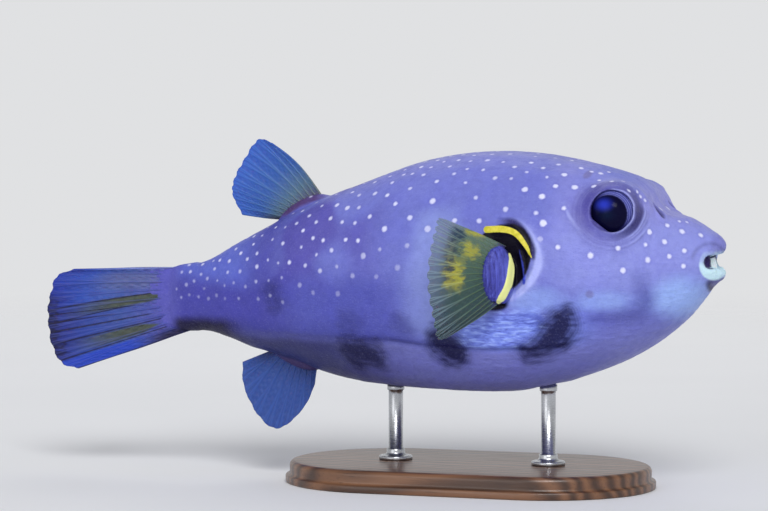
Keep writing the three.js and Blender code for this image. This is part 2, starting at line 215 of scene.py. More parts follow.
def catmull(points, count):
    """count points along a smooth curve through the given ones."""
    given = np.asarray(points, float)
    padded = np.vstack([2 * given[0] - given[1], given, 2 * given[-1] - given[-2]])
    along = np.linspace(0, len(given) - 1, count)
    index = np.minimum(along.astype(int), len(given) - 2)
    t = (along - index)[:, None]
    a, b, c, d = (padded[index + k] for k in range(4))
    return 0.5 * (2 * b + (c - a) * t + (2 * a - 5 * b + 4 * c - d) * t**2 + (3 * b - a - 3 * c + d) * t**3)


def to_path(points, path, widths, limit=6.0):
    """Distance of each point to a smooth path less the path's half-width there, and the share along it.
    Points further off than the limit get the limit."""
    line = catmull(path, 6 * len(path))
    half = np.interp(np.linspace(0, 1, len(line)), np.linspace(0, 1, len(widths)), widths)
    best = np.full(len(points), limit)
    share = np.zeros(len(points))
    margin = limit + max(widths)
    inside = np.all((points > line.min(axis=0) - margin) & (points < line.max(axis=0) + margin), axis=1)
    near = np.flatnonzero(inside)
    spots, gaps, shares = points[near], best[near], share[near]
    for k in range(len(line) - 1):
        run = line[k + 1] - line[k]
        t = np.clip((spots - line[k]) @ run / (run @ run), 0, 1)
        gap = length(spots - line[k] - t[:, None] * run) - (half[k] + (half[k + 1] - half[k]) * t)
        closer = gap < gaps
        gaps[closer] = gap[closer]
        shares[closer] = (k + t[closer]) / (len(line) - 1)
    best[near] = gaps
    share[near] = shares
    return best, share


def gap_to(points, path, widths, limit=6.0):
    return to_path(points, path, widths, limit)[0]


# ---------------- a solid as distances on a grid

class Grid:
    """Signed distances, negative inside, on a regular grid round the flesh."""

    def __init__(self, first, shape):
        self.first = np.asarray(first)
        self.shape = tuple(int(n) for n in shape)
        self.start = tuple(int(f) for f in self.first)
        self.transform = openvdb.createLinearTransform(voxelSize=VOXEL)
        lines = [(np.arange(n, dtype=np.float32) + f) * VOXEL for n, f in zip(self.shape, self.first)]
        self.x, across, self.z = np.ix_(*lines)
        self.side = np.abs(across)
        self.folded = (self.x, self.side, self.z)

    def window(self, low, high):
        """The part of this grid round a box: where it is in this grid's arrays, and its own grid."""
        start = np.maximum(np.floor(np.asarray(low) / VOXEL).astype(int) - self.first, 0)
        end = np.minimum(np.ceil(np.asarray(high) / VOXEL).astype(int) - self.first + 1, self.shape)
        return tuple(slice(a, b) for a, b in zip(start, end)), Grid(self.first + start, end - start)

    def distance(self, points, triangles):
        level = openvdb.FloatGrid.createLevelSetFromPolygons(
            points.astype(np.float32), triangles=triangles.astype(np.uint32),
            transform=self.transform, halfWidth=BAND / VOXEL)
        found = np.empty(self.shape, np.float32)
        level.copyToArray(found, ijk=self.start)
        return found

    def surface(self, field, level=0.0):
        """Points and quads of the surface at a level, with the faces turned out."""
        grid = openvdb.FloatGrid(BAND)
        grid.transform = self.transform
        grid.copyFromArray(field, ijk=self.start)
        points, quads = grid.convertToQuads(level)
        a, b, c, d = (points[quads[:, k]] for k in range(4))
        volume = np.einsum("ij,ij->i", a, np.cross(b, c) + np.cross(c, d)).sum()
        return points, (quads if volume > 0 else quads[:, ::-1])

    def redistanced(self, field, level=0.0):
        """The same solid, grown by level, with true distances again."""
        points, quads = self.surface(field, level)
        return self.distance(points, np.vstack([quads[:, [0, 1, 2]], quads[:, [0, 2, 3]]])) + level

    def reach(self, centre, radii=(1.0, 1.0, 1.0)):
        """Distance to a folded point, or with radii how many of them away it is."""
        return np.sqrt(sum(((at - c) / r) ** 2 for at, c, r in zip(self.folded, centre, radii)))

    def ball(self, centre, radius):
        return self.reach(centre) - radius

    def egg(self, centre, radii):
        """About the distance to an ellipsoid's surface."""
        return (self.reach(centre, radii) - 1) * min(radii)

    def along(self, centre, axis):
        return sum((at - c) * part for at, c, part in zip(self.folded, centre, axis))


def merged(a, b, blend):
    """Both solids as one, their joint rounded over blend."""
    meet = np.maximum(blend - np.abs(a - b), 0) / blend
    return np.minimum(a, b) - meet * meet * blend / 4


def carved(solid, cutter, blend):
    return -merged(-solid, cutter, blend)


def blurred(field, sigma):
    reach = int(3 * sigma / VOXEL) + 1
    taps = np.exp(-0.5 * (np.arange(-reach, reach + 1) * VOXEL / sigma) ** 2)
    taps /= taps.sum()
    for axis in range(3):
        wide = np.pad(field, [(reach, reach) if k == axis else (0, 0) for k in range(3)], mode="edge")
        wide = np.moveaxis(wide, axis, 0)
        size = field.shape[axis]
        field = sum(np.float32(tap) * np.moveaxis(wide[k:k + size], 0, axis) for k, tap in enumerate(taps))
    return field


def listed(items, key, kind=np.float32):
    """A property of three numbers of all items of a mesh."""
    found = np.empty(len(items) * 3, kind)
    items.foreach_get(key, found)
    return found.reshape(-1, 3)


def node_mesh(name):
    mesh = NODES[name].data
    mesh.calc_loop_triangles()
    return listed(mesh.vertices, "co") / MM, listed(mesh.loop_triangles, "vertices", np.int32)


# ---------------- the skin's solid

def flesh_solid():
    """The flesh nodes as one solid with smooth joints, a socket for each eye and an open mouth."""
    low, high = around(FLESH + FIN_BASES + PECTORAL_BASES + LIPS, 5)
    first = np.floor((low - (13, 0, 0)) / VOXEL).astype(int)
    grid = Grid(first, np.ceil(high / VOXEL).astype(int) - first + 1)

    body = np.minimum.reduce([grid.distance(*node_mesh(name)) for name in FLESH])
    where, part = grid.window(*around(EYES, 2))
    body[where] = np.minimum(body[where], part.ball(EYE, EYE_RADIUS))
    body = grid.redistanced(body, 0.35)
    calm = smooth(128, 138, grid.x)
    pit = smooth(24, 12, grid.reach(PECTORAL))
    body = body + (blurred(body, 2.6) - body) * (1 - calm) * (1 - 0.75 * pit)

    for names, soft, blend in ((FIN_BASES, 0.6, 3.0), (PECTORAL_BASES, 1.0, 1.6), (LIPS, 0.9, 3.0)):
        for name in names:
            where, part = grid.window(*around([name], 8))
            body[where] = merged(body[where], blurred(part.distance(*node_mesh(name)), soft), blend)
    for names, margin, shaped in ((["caudal_fin"], 8, with_fin_root), (EYES, 16, with_eyelids),
                                  (LIPS, 6, with_open_mouth)):
        where, part = grid.window(*around(names, margin))
        body[where] = shaped(part, body[where])
    return grid, body


def with_fin_root(grid, body):
    """The fleshy root of the tail fin: the end of the stalk drawn out thin along the fin."""
    out = STALK_END - grid.x
    thick = 4.7 - 4.55 * smooth(-4, 14, out)
    section = np.hypot(grid.side / thick, (grid.z - STALK_Z + 0.12 * out) / (STALK_HALF_HEIGHT + 0.07 * out))
    return merged(body, np.maximum(np.maximum((section - 1) * thick, out - FIN_ROOT_REACH), -6 - out), 3.0)


def with_eyelids(grid, body):
    """Lids round a flattened opening, a socket behind them, and the brow cut back in front, but never so far
    that less than LID_LEFT of a lid is left."""
    from_eye = grid.reach(EYE)
    body = merged(body, from_eye - (EYE_RADIUS + LID), 2.4)
    cut = np.minimum(grid.egg(SADDLE, SADDLE_SIZE), grid.ball(BROW_CUT, BROW_CUT_RADIUS))
    body = carved(body, np.maximum(cut, EYE_RADIUS + LID_LEFT - from_eye), 1.6)
    ahead = grid.along(EYE, EYE_AXIS)
    aside = np.sqrt(np.maximum(from_eye**2 - ahead**2, 0))
    low_lid = grid.along(EYE, -0.62 * EYE_FRONT - 0.78 * EYE_UP)
    opening = np.maximum(np.maximum(aside - APERTURE, low_lid - APERTURE * 0.87), 2 - ahead)
    body = carved(body, opening, 0.7)
    socket = from_eye - EYE_RADIUS + 0.25 + 1.8 * smooth(4.8, 2.4, ahead)
    return carved(body, np.maximum(socket, 1 - ahead), 0.3)


def with_open_mouth(grid, body):
    """Each corner of the mouth is a round hollow between the lips, with the gum behind it."""
    body = carved(body, grid.egg(MOUTH_CORNER, MOUTH_HOLLOW), 0.8)
    return merged(body, grid.egg(GUM, GUM_SIZE), 0.8)


# ---------------- meshes

def new_mesh(name, points, *groups):
    """A smooth-shaded mesh object from points in millimetres and groups of faces of one size each."""
    mesh = bpy.data.meshes.new(name)
    loops = np.concatenate([group.ravel() for group in groups]).astype(np.int32)
    sizes = np.concatenate([np.full(len(group), group.shape[1]) for group in groups])
    mesh.vertices.add(len(points))
    mesh.vertices.foreach_set("co", (np.asarray(points, np.float32) * MM).ravel())
    mesh.loops.add(len(loops))
    mesh.loops.foreach_set("vertex_index", loops)
    mesh.polygons.add(len(sizes))
    mesh.polygons.foreach_set("loop_start", (np.cumsum(sizes) - sizes).astype(np.int32))
    mesh.polygons.foreach_set("use_smooth", np.ones(len(sizes), bool))
    mesh.update(calc_edges=True)
    mesh.validate()
    made = bpy.data.objects.new(name, mesh)
    bpy.context.scene.collection.objects.link(made)
    return made


def subdivided(made):
    """Replaces an object's mesh with one Catmull-Clark subdivision of it."""
    modifier = made.modifiers.new("finer", "SUBSURF")
    modifier.levels = modifier.render_levels = 1
    evaluated = made.evaluated_get(bpy.context.evaluated_depsgraph_get())
    mesh = bpy.data.meshes.new_from_object(evaluated)
    made.modifiers.clear()
    made.data = mesh


def outward(points, *groups):
    """Turns all faces over if they make a negative volume."""
    volume = 0.0
    for group in groups:
        for k in range(2, group.shape[1]):
            a, b, c = points[group[:, 0]], points[group[:, k - 1]], points[group[:, k]]
            volume += np.einsum("ij,ij->", a, np.cross(b, c))
    return (points, *(group if volume > 0 else group[:, ::-1] for group in groups))


def ring_quads(rings, count, first=0):
    """Quads between rings of count points each, numbered from the first."""
    step = np.arange(count)
    following = (step + 1) % count
    quads = first + np.stack([step, following, count + following, count + step], axis=1)
    return np.vstack([ring * count + quads for ring in range(rings - 1)])


def store(made, name, values):
    """A number or a colour for each point, which the material reads by name."""
    values = np.asarray(values, np.float32)
    if values.ndim == 1:
        made.data.attributes.new(name, "FLOAT", "POINT").data.foreach_set("value", values)
    else:
        rgba = np.hstack([values, np.ones((len(values), 1), np.float32)])
        made.data.attributes.new(name, "FLOAT_COLOR", "POINT").data.foreach_set("color", rgba.ravel())


def hand_over(made, slot, look, *nodes):
    """Gives a mesh its material, hangs it on the root body and hides the nodes it stands in for."""
    made.data.materials.clear()
    made.data.materials.append(look)
    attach(made, "root")
    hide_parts(*nodes)


# ---------------- the skin's relief and markings

# Paths on the side of the fish as [x, z], or folded as [x, y, z], some with their half-widths.
EYE_FOLD = ([(91.5, 117.4), (93.8, 113.4), (96.4, 109.6), (99.9, 105.8)], (0.1, 0.2, 0.1))
NOSTRIL_SLIT = ([(123.0, 13.3, 116.4), (125.2, 14.1, 113.8), (127.2, 15.1, 111.3)], (0.4, 1.2, 1.4, 1.1, 0.4))
GILL_ARC = ([(61.7, 106.8), (68.7, 107), (74, 105.3), (78.5, 100.3), (80.6, 96)], (1.3, 1.25, 1.1, 0.8, 0.15))
GILL_STRIP = ([(72.0, 98.9), (73.4, 94.4), (72.7, 86), (70.6, 80.6), (68.8, 78.3)],
              (0.3, 0.85, 0.95, 1.15, 0.6))
GILL_BORDER = [(66.5, 110.4), (72.8, 109.2), (77.8, 104.4), (80.7, 99.3), (81.2, 96)]
GILL_RIM = [(69, 112), (76.6, 108.6), (81.6, 102), (83.6, 94.4), (81.4, 88), (77, 83), (72.6, 79.6)]
GILL_LINE = [(75.2, 99), (76.8, 93), (77.6, 86)]
PALE_FLANK = [(55, 65.5), (68, 66), (80, 68.5)]
WRINKLED_WIDTHS = (4.5, 5.5, 4.5)
PALE_SHOULDER = ([(36, 74), (42, 88), (40, 102)], (4, 7, 4))
SHADOW_OF_JAW = ([(122.5, 87), (123.5, 79), (118, 72.5), (104, 71.5)], (0.5, 1.6, 1.4, 2.0, 0.5))
BROWN_DOTS = ((97.7, 128.5), (103.2, 81.6))
CHIN = (146.4, 0.0, 84.5)

# Dark blotches as a path, its half-widths and how dark they are.
BLOTCHES = (
    ([(95.2, 74.5), (93, 69.5), (89, 65.5), (84, 61.5), (77.5, 58.2)], (0.6, 3.8, 4.4, 2.8, 1.6), 0.95),
    ([(42, 60.5), (46, 57.5)], (4.4, 4.6), 0.95), ([(2, 56), (10, 54.5)], (4.4, 4.0), 0.88),
    ([(-37, 79.5), (-35, 75)], (2.2, 2.0), 0.5), ([(0, 69.5), (5, 68.5)], (1.5, 1.5), 0.3),
    ([(22, 69), (27, 67)], (1.5, 1.5), 0.35))

# Folds of skin round the eye as [radius, rise, width], and the groove between them, painted dark as shade.
EYE_RINGS = ((8.85, 0.26, 0.3), (12.5, 0.18, 0.3), (13.3, 0.14, 0.25), (14.9, 0.14, 0.4))
EYE_GROOVE = 10.8


def eye_places(points):
    """Of folded points: the distance from the eye's axis, the angle round it and whether they face out."""
    ahead = (points - EYE) @ EYE_AXIS
    aside = points - EYE - ahead[:, None] * EYE_AXIS
    return length(aside), np.arctan2(aside @ EYE_UP, aside @ EYE_FRONT), smooth(-2, 3, ahead)


def eye_folds(p, q):
    """Round the eye: the distance from its axis, the same less how far the folds stray from circles there,
    the angle, whether places face out, and how strong the folds are, most in front and below."""
    distance, angle, facing = eye_places(q)
    stray = sway(p, 0, 3.6) * 0.7 + 0.25 * np.sin(2 * angle + 0.6)
    uneven = (0.25 + 0.75 * smooth(-0.5, 0.8, np.cos(angle - 0.1))) * smooth(0.1, 0.45, NOISE[1](p, 4.0))
    return distance, distance - stray, angle, facing, uneven


def fold_height(x):
    """Height of the line where the smooth belly starts: level along the flank, higher under the head."""
    return FOLD_Z - 1.6 * smooth(20, 60, x) + 12 * smooth(84, 121, x)


def above_fold(p, q):
    return q[:, 2] - fold_height(q[:, 0]) - sway(p, 0, 12) * 1.6


def gill_strip(q):
    """As to_path, for the yellow strip, which lies on the lobe and not on the hollow behind it."""
    gap, share = to_path(q[:, [0, 2]], *GILL_STRIP)
    return gap + 5 * smooth(43.2, 42.0, q[:, 1]) * smooth(99.5, 97.5, q[:, 2]), share


def furrows(p, coarse, fine):
    """Two sizes of noise together, from about -0.75 to 0.75."""
    return NOISE[1](p, coarse) + 0.5 * NOISE[2](p, fine) - 0.75


def relief(p, q):
    """Height in millimetres to add along the normal. p is the true place and q the folded one."""
    x, side, _ = q.T
    flat = q[:, [0, 2]]
    _, distance, angle, facing, uneven = eye_folds(p, q)
    height = -facing * 0.25 * hump(distance - EYE_GROOVE, 0.9) * (0.5 + 0.5 * np.cos(angle + 0.35))
    for radius, rise, width in EYE_RINGS:
        height += facing * rise * uneven * hump(distance - radius, width)
    gap, share = to_path(flat, *EYE_FOLD)
    height += 0.28 * hump(np.maximum(gap, 0), 0.6) * smooth(20, 26, side) * hump(share - 0.5, 0.35)

    near_gill = smooth(30, 36, side)
    for (gap, share), rise, width in (
            (to_path(flat, *GILL_ARC), 0.7, 0.8), (gill_strip(q), 0.6, 0.6),
            (to_path(flat, GILL_RIM, (0.2, 0.5, 0.7, 0.8, 0.8, 0.6, 0.3)), 0.6, 1.3),
            (to_path(flat, GILL_LINE, (0.2, 0.4, 0.2)), 0.5, 0.5)):
        ends = smooth(0, 0.12, share) * smooth(1, 0.9, share)
        height += near_gill * rise * hump(np.maximum(gap, 0), width) * ends
    border = np.maximum(gap_to(flat, GILL_BORDER, (0.4, 0.8, 0.8, 0.6, 0.2)), 0)
    height -= near_gill * 0.5 * hump(border, 0.8)
    lobe = hump(oval(q, PECTORAL, (8, 8, 13)), 1.0) * near_gill
    height += lobe * 0.7 * sway(p, 1, (1.6, 1.6, 9))

    firm = smooth(-60, -30, x) * smooth(106, 88, x) * (0.3 + 0.7 * smooth(0, 40, x))
    above = above_fold(p, q)
    height += firm * (0.45 * hump(above - 2.4, 2.0) - 0.6 * hump(above, 1.0) - 0.1 * smooth(0, -6, above))
    wrinkled_share = smooth(4, -2, gap_to(flat, PALE_FLANK, (5, 6, 5))) * smooth(-1, 2, above)
    height += 0.4 * wrinkled_share * furrows(p, (4.5, 4.5, 0.8), (2.2, 2.2, 0.55))
    height += smooth(STALK_END - 1, STALK_END - 9, x) * 0.35 * furrows(p, (9, 9, 0.9), (5, 5, 0.5))
    height += smooth(20, 60, x) * smooth(30, 12, np.abs(above - 8)) * 0.24 * sway(p, 2, (4, 4, 1.2))

    height += smooth(112, 124, x) * smooth(140, 128, x) * 0.22 * sway(p, 1, (1.3, 6, 5))
    lip = smooth(9.5, 5.5, length((q - (NOSE_X - 3, 3, MOUTH_Z)) * (1, 0.55, 0.8)))
    papillae = np.abs(sway(p, 0, 1.1)) + 0.6 * np.abs(sway(p, 2, 0.7))
    height += lip * 0.5 * (0.28 - papillae)
    gap = gap_to(q, *NOSTRIL_SLIT)
    height += 0.35 * hump(gap - 1.2, 0.9) - 1.0 * smooth(0.8, -0.9, gap)
    return height + 0.16 * sway(p, 0, 5) + 0.10 * sway(p, 1, 1.9) * smooth(150, 120, x)


BACK = srgb(119, 126, 208)
FLANK = srgb(112, 119, 200)
FLANK_PALE = srgb(136, 149, 217)
FLANK_LOW = srgb(74, 78, 170)
FLANK_SHADE = srgb(58, 62, 138)
VIOLET = srgb(88, 80, 168)
FACE = srgb(145, 147, 220)
HEAD_TOP = srgb(88, 108, 206)
CHEEK = srgb(139, 147, 220)
JAW_PALE = srgb(152, 178, 242)
JAW_DARK = srgb(70, 74, 152)
CHIN_SHADOW = srgb(10, 7, 30)
WRINKLE_PALE = srgb(124, 144, 236)
WRINKLE_HIGHLIGHT = srgb(164, 186, 255)
FURROW_SHADE = srgb(70, 80, 176)
BELLY = srgb(122, 126, 202)
BELLY_REAR = srgb(38, 40, 90)
STALK = srgb(68, 66, 156)
STALK_TOP = srgb(100, 116, 208)
STALK_DARK = srgb(22, 17, 48)
FIN_ROOT = srgb(90, 90, 178)
FIN_BASE_BROWN = srgb(80, 54, 98)
BLOTCH = srgb(10, 9, 62)
BROWN_DOT = srgb(98, 80, 104)
EYE_SHADE = srgb(72, 66, 150)
DEEP_SHADE = srgb(36, 28, 92)
LIP_PALE = srgb(206, 238, 250)
LIP_PURPLE = srgb(122, 122, 200)
MOUTH_SHADE = srgb(44, 30, 86)
GILL_BLACK = srgb(8, 4, 24)
GILL_BORDER_DARK = srgb(36, 28, 90)
GILL_PALE = srgb(178, 186, 248)
GILL_BLUE = srgb(58, 74, 200)
LOBE = srgb(66, 70, 168)
LOBE_PALE = srgb(104, 110, 206)


class Paint:
    """A colour for each point of the skin, laid in soft overlapping regions."""

    def __init__(self, count, ground):
        self.colour = np.tile(np.array(ground), (count, 1))

    def lay(self, paint, share):
        self.colour += (np.array(paint) - self.colour) * np.clip(share, 0, 1)[:, None]


def tint_of(p, q):
    """The skin's ground colour."""
    paint = Paint(len(p), FLANK)
    patchy = sway(p, 0, 14)
    paint_body(paint.lay, p, q, patchy)
    paint_eye(paint.lay, p, q, patchy)
    paint_gill(paint.lay, q)
    paint_mouth(paint.lay, q)
    for node, share in (("dorsal_fin_base", 0.9), ("anal_fin_base", 0.45)):
        low, high = corners(node)
        lift = oval(p, middle(node), (high - low) / 2 + (2, 2, 0.5))
        paint.lay(FIN_BASE_BROWN, smooth(1.4, 0.8, lift) * share * smooth(4.5, 3, q[:, 1]))
    return paint.colour


def paint_body(lay, p, q, patchy):
    x, side, z = q.T
    flat = q[:, [0, 2]]
    fine = sway(p, 1, 5)
    lay(FLANK_PALE, smooth(13, 0, gap_to(flat, *PALE_SHOULDER, limit=16) + 8 * patchy))
    lay(BACK, smooth(106, 128, z - 0.1 * x + 10 * patchy) * 0.9)
    violet = smooth(0.38, 0.62, NOISE[2](p, 22))
    lay(VIOLET, violet * smooth(24, -4, x) * smooth(76, 88, z + 8 * patchy) * 0.8)
    lay(FLANK_LOW, smooth(94, 78, z + 6 * patchy) * smooth(42, 12, x) * 0.8)
    lay(FACE, smooth(78, 108, x + 6 * patchy) * smooth(84, 96, z))
    lay(HEAD_TOP, smooth(118, 132, z + 7 * patchy) * smooth(88, 112, x) * 0.85)
    lay(CHEEK, smooth(78, 98, x) * smooth(76, 88, z + 4 * patchy) * smooth(116, 104, z) * 0.8)
    lay(STALK, smooth(-16, -46, x) * 0.8)
    lay(STALK_TOP, smooth(-40, -60, x) * smooth(78, 88, z + 5 * patchy) * 0.7)
    lay(FIN_ROOT, smooth(STALK_END + 3, STALK_END - 5, x))
    pale = smooth(5, -2, gap_to(flat, PALE_FLANK, WRINKLED_WIDTHS, limit=10) + 3 * fine)
    lay(WRINKLE_PALE, np.maximum(pale, 0.45 * smooth(74, 92, x) * smooth(110, 96, x) * smooth(82, 76, z)))
    lay(JAW_PALE, smooth(1.35, 0.35, oval(flat, (133.5, 79.5), (11.5, 10)) + 0.5 * patchy))
    cheek_low = oval(flat, (109, 78.5), (12, 5)) + 0.7 * patchy + 0.5 * fine
    lay(JAW_PALE, smooth(1.4, 0.3, cheek_low) * 0.6)
    under_gill = oval(flat, (80, 79.5), (13, 4.5)) + 0.6 * patchy + 0.4 * fine
    lay(JAW_PALE, smooth(1.4, 0.3, under_gill) * 0.55)
    lay(JAW_DARK, smooth(6.0, -3.0, gap_to(flat, *SHADOW_OF_JAW) + 3 * fine + 3 * patchy) * 0.78)
    # Painted shadow under the lower lip, where the chin recedes.
    chin = oval(q, CHIN, (4.6, 11, 4.2)) + 0.2 * fine
    lay(CHIN_SHADOW, smooth(1.2, 0.7, chin) * smooth(88, 86.9, z) * 0.98)

    above = above_fold(p, q)
    soft = 1 + 4.0 * smooth(88, 120, x) + 1.0 * smooth(20, -20, x)
    lay(FLANK_SHADE, smooth(9, 0, above + 3 * patchy) * smooth(48, 20, x) * smooth(-70, -50, x) * 0.6)
    lay(BELLY, smooth(1.5, -2.5, above / soft) * smooth(-70, -44, x) * smooth(143, 134, x) * 0.95)
    lay(BELLY_REAR, smooth(3, -3.5, above) * smooth(40, -16, x) * smooth(-74, -56, x) * 0.9)
    # Painted shade along the groove at the belly's fold.
    lay(BLOTCH, hump(above, 1.1) * smooth(106, 92, x) * smooth(-10, 30, x) * 0.22)
    under_stalk = smooth(69, 63.5, z + 0.45 * np.maximum(STALK_END - x, 0) + 1.6 * fine)
    lay(STALK_DARK, under_stalk * smooth(-50, -66, x) * smooth(-93, -86, x + 2 * fine) * 0.95)
    rough = 3.5 * fine + 2.5 * patchy + 2.2 * sway(p, 1, (2.6, 2.6, 1.1))
    for path, widths, share in BLOTCHES:
        inside = smooth(5.4, -1.8, gap_to(flat, path, widths, limit=9) + rough)
        lay(BLOTCH, inside * share * smooth(5, 12, side))
    for place in BROWN_DOTS:
        lay(BROWN_DOT, smooth(2.1, 0.9, length(flat - place)) * smooth(12, 18, side) * 0.4)


def paint_eye(lay, p, q, patchy):
    flat = q[:, [0, 2]]
    outer = smooth(20, 26, q[:, 1])
    true_distance, distance, angle, facing, uneven = eye_folds(p, q)
    front = 0.5 + 0.5 * np.cos(angle + 0.35)
    # Painted shade round the eye, strongest behind it.
    lay(EYE_SHADE, facing * smooth(18, 11, true_distance + 5 * patchy) * (0.2 + 0.6 * (1 - front)))
    # Painted shade just inside the lid's edge, and in the groove round the eye.
    lay(DEEP_SHADE, facing * smooth(9.3, 8.5, true_distance) * (0.35 + 0.4 * (1 - np.sin(angle)) / 2))
    lay(DEEP_SHADE, facing * 0.85 * front**3 * smooth(1.9, 0.7, np.abs(distance - EYE_GROOVE + 0.1)))
    # Each fold gets a pale line along it and a line of painted shade just outside it.
    for radius, rise, width in EYE_RINGS:
        lay(GILL_PALE, facing * uneven * min(2.6 * rise, 0.7) * hump(distance - radius, width))
        lay(DEEP_SHADE, facing * uneven * 0.22 * hump(distance - radius - 0.6, width))
    gap, along = to_path(flat, *EYE_FOLD)
    lay(GILL_PALE, smooth(0.9, 0, gap) * outer * 0.6 * hump(along - 0.5, 0.38))
    # A patch of painted shade behind the eye.
    lay(EYE_SHADE, hump(oval(flat, (100, 113), (6, 8)), 1.0) * outer * 0.45)
    # Painted shade in the nostril's slit.
    lay(DEEP_SHADE, smooth(1.4, -0.7, gap_to(q, *NOSTRIL_SLIT)) * 0.85)


def lobe_reach(q, radii):
    return oval(q - PECTORAL, (-0.6, 0.8, 0), radii)


def paint_gill(lay, q):
    near_gill = smooth(32, 36, q[:, 1])
    flat = q[:, [0, 2]]
    gap, along = to_path(flat, GILL_RIM, (0.2, 0.5, 0.7, 0.9, 1.0, 0.8, 0.3))
    rim = np.maximum(gap, 0)
    lay(GILL_PALE, near_gill * (0.7 * hump(rim, 0.9) + 0.2 * hump(rim, 2.4)) * smooth(0, 0.4, along))
    gap, along = to_path(flat, GILL_BORDER, (0.3, 1.0, 1.3, 1.0, 0.3))
    lay(GILL_BORDER_DARK, near_gill * smooth(1.6, -0.4, gap) * 0.92 * smooth(-0.1, 0.2, along))
    on_lobe = near_gill * smooth(1.25, 0.9, lobe_reach(q, (6.5, 9, 13.6)))
    lay(LOBE, on_lobe)
    lay(LOBE_PALE, on_lobe * 0.6 * hump(oval(q - PECTORAL, (1.5, 0, 3), (4, 9, 8)), 1.0))
    lay(GILL_BORDER_DARK, on_lobe * smooth(1, -6, q[:, 0] - PECTORAL[0]) * 0.65)
    lay(GILL_BLACK, near_gill * smooth(1.1, 0.7, oval(flat, (65.4, 76.9), (6.2, 2.4))))
    lay(GILL_BLUE, near_gill * smooth(0.8, 0.0, gap_to(flat, GILL_LINE, (0.3, 0.5, 0.3))))


def paint_mouth(lay, q):
    """Pale lips round a hollow painted dark as shade, the lower lip palest."""
    x, side, z = q.T
    up = z - MOUTH_Z
    hollow = (oval(q, MOUTH_CORNER, MOUTH_HOLLOW) - 1) * min(MOUTH_HOLLOW)
    lay(LIP_PURPLE, smooth(1.2, 0.8, oval(q, (NOSE_X, 0, MOUTH_Z), (11, 13, 12))) * 0.6)
    # A crescent of painted shade above the mouth's corner, under the upper lip.
    lay(DEEP_SHADE, hump(hollow - 4.4, 0.8) * smooth(0, 3, up) * 0.3)
    ring = oval(q[:, [0, 2]], (NOSE_X - 3.7, MOUTH_Z - 0.9), (4.5, 6.5))
    lay(LIP_PALE, smooth(1.08, 0.9, ring) * (0.3 + 0.7 * smooth(1.5, -2.5, up)) * smooth(5, 3, up))
    lay(LIP_PALE, smooth(NOSE_X - 7, NOSE_X - 5, x) * hump(up - 2.0, 1.4) * smooth(9, 7, side) * 0.8)
    # The hollow, the gum behind it and the flesh behind the lips are painted dark as shade.
    inside = smooth(NOSE_X - 2.9, NOSE_X - 4.1, x + 0.35 * up)
    lay(MOUTH_SHADE, smooth(0.45, -0.1, hollow) * inside * smooth(9.8, 8.2, side) * 0.96)
    lay(MOUTH_SHADE, smooth(1.3, 1.1, oval(q, GUM, GUM_SIZE)) * smooth(NOSE_X - 3, NOSE_X - 4, x) * 0.96)
    behind = smooth(NOSE_X - 7.5, NOSE_X - 8.5, x) * smooth(NOSE_X - 14, NOSE_X - 10, x)
    lay(MOUTH_SHADE, behind * smooth(8, 6, side) * smooth(5, 3, np.abs(up)))


# Spots of the face and shoulder, as [x, z] on the side, with their radius. The rest are scattered.
FACE_SPOTS = [
    (129.5, 113.5, 1.0), (130, 109, 1.1), (133.5, 110.5, 0.8), (136, 110, 0.8), (124.5, 106.5, 1.3),
    (135.5, 106.5, 1.4), (142, 105, 1.2), (130, 102.5, 1.2), (137, 99, 1.1), (123.5, 101.5, 0.9),
    (132, 96.5, 1.1), (124.5, 95.5, 1.3), (137, 93, 1.1), (116, 91.5, 1.3), (104, 97, 1.4), (114, 99.5, 1.1),
    (113, 126.5, 1.1), (120.5, 120.5, 0.8), (108.5, 126.5, 1.1), (102.5, 129.5, 1.2), (101.5, 124.5, 1.2),
    (117, 123, 1.0), (85, 110, 1.7), (92, 116, 1.0), (91.5, 100.5, 1.1), (83, 120.5, 1.5), (87.5, 124.5, 1.2),
    (95, 124, 1.5), (89.5, 129, 1.4), (94.5, 131.5, 1.2), (99, 130.2, 1.0), (105, 130, 0.9),
    (103.5, 126.8, 0.8), (121.8, 119, 0.8), (119.3, 122.3, 0.8),
]
FACE_SPOT_SHRINK = 0.8
SPOT_TRIES = 30000


def scatter_spots(p, q, rng):
    """Picks points of the skin, each clear of the ones before it by the spacing of its region."""
    x, side, z = q.T
    lowest = 75 + 20 * smooth(-25, 45, x)
    allowed = (z > lowest) & (x < 132) & (x > -87) & ((x < 84) | (side < 12) | (z > 128.5))
    allowed &= length((q - PECTORAL)[:, [0, 2]] / (20, 23)) > 1
    allowed &= length(q - EYE) > 18.5
    allowed &= np.min([np.hypot(x - spot[0], z - spot[1]) for spot in FACE_SPOTS], axis=0) > 5.0
    chosen = []
    places = np.empty((0, 3))
    spacings = np.empty(0)
    for index in rng.permutation(np.flatnonzero(allowed))[:SPOT_TRIES]:
        here, along, height = p[index], x[index], z[index]
        crown = smooth(120, 129, height) * smooth(-20, 30, along)
        spacing = 4.2 + 2.4 * smooth(-75, -25, along) + 4.6 * smooth(0, 70, along)
        spacing += 3.0 * smooth(20, 0, height - lowest[index]) * smooth(-50, 0, along)
        spacing *= (0.85 + 0.3 * rng.random()) * (1 - 0.42 * crown)
        if len(places) and np.any(length(places - here) < (spacings + spacing) / 2):
            continue
        places = np.vstack([places, here])
        spacings = np.append(spacings, spacing)
        radius = (0.70 + 0.42 * smooth(-60, 40, along)) * (0.65 + 0.55 * rng.random()) * (1 - 0.3 * crown)
        faint = smooth(20, 2, height - lowest[index]) * 0.65
        chosen.append((*here, radius, (1 - faint) * (0.7 + 0.3 * rng.random())))
    return chosen


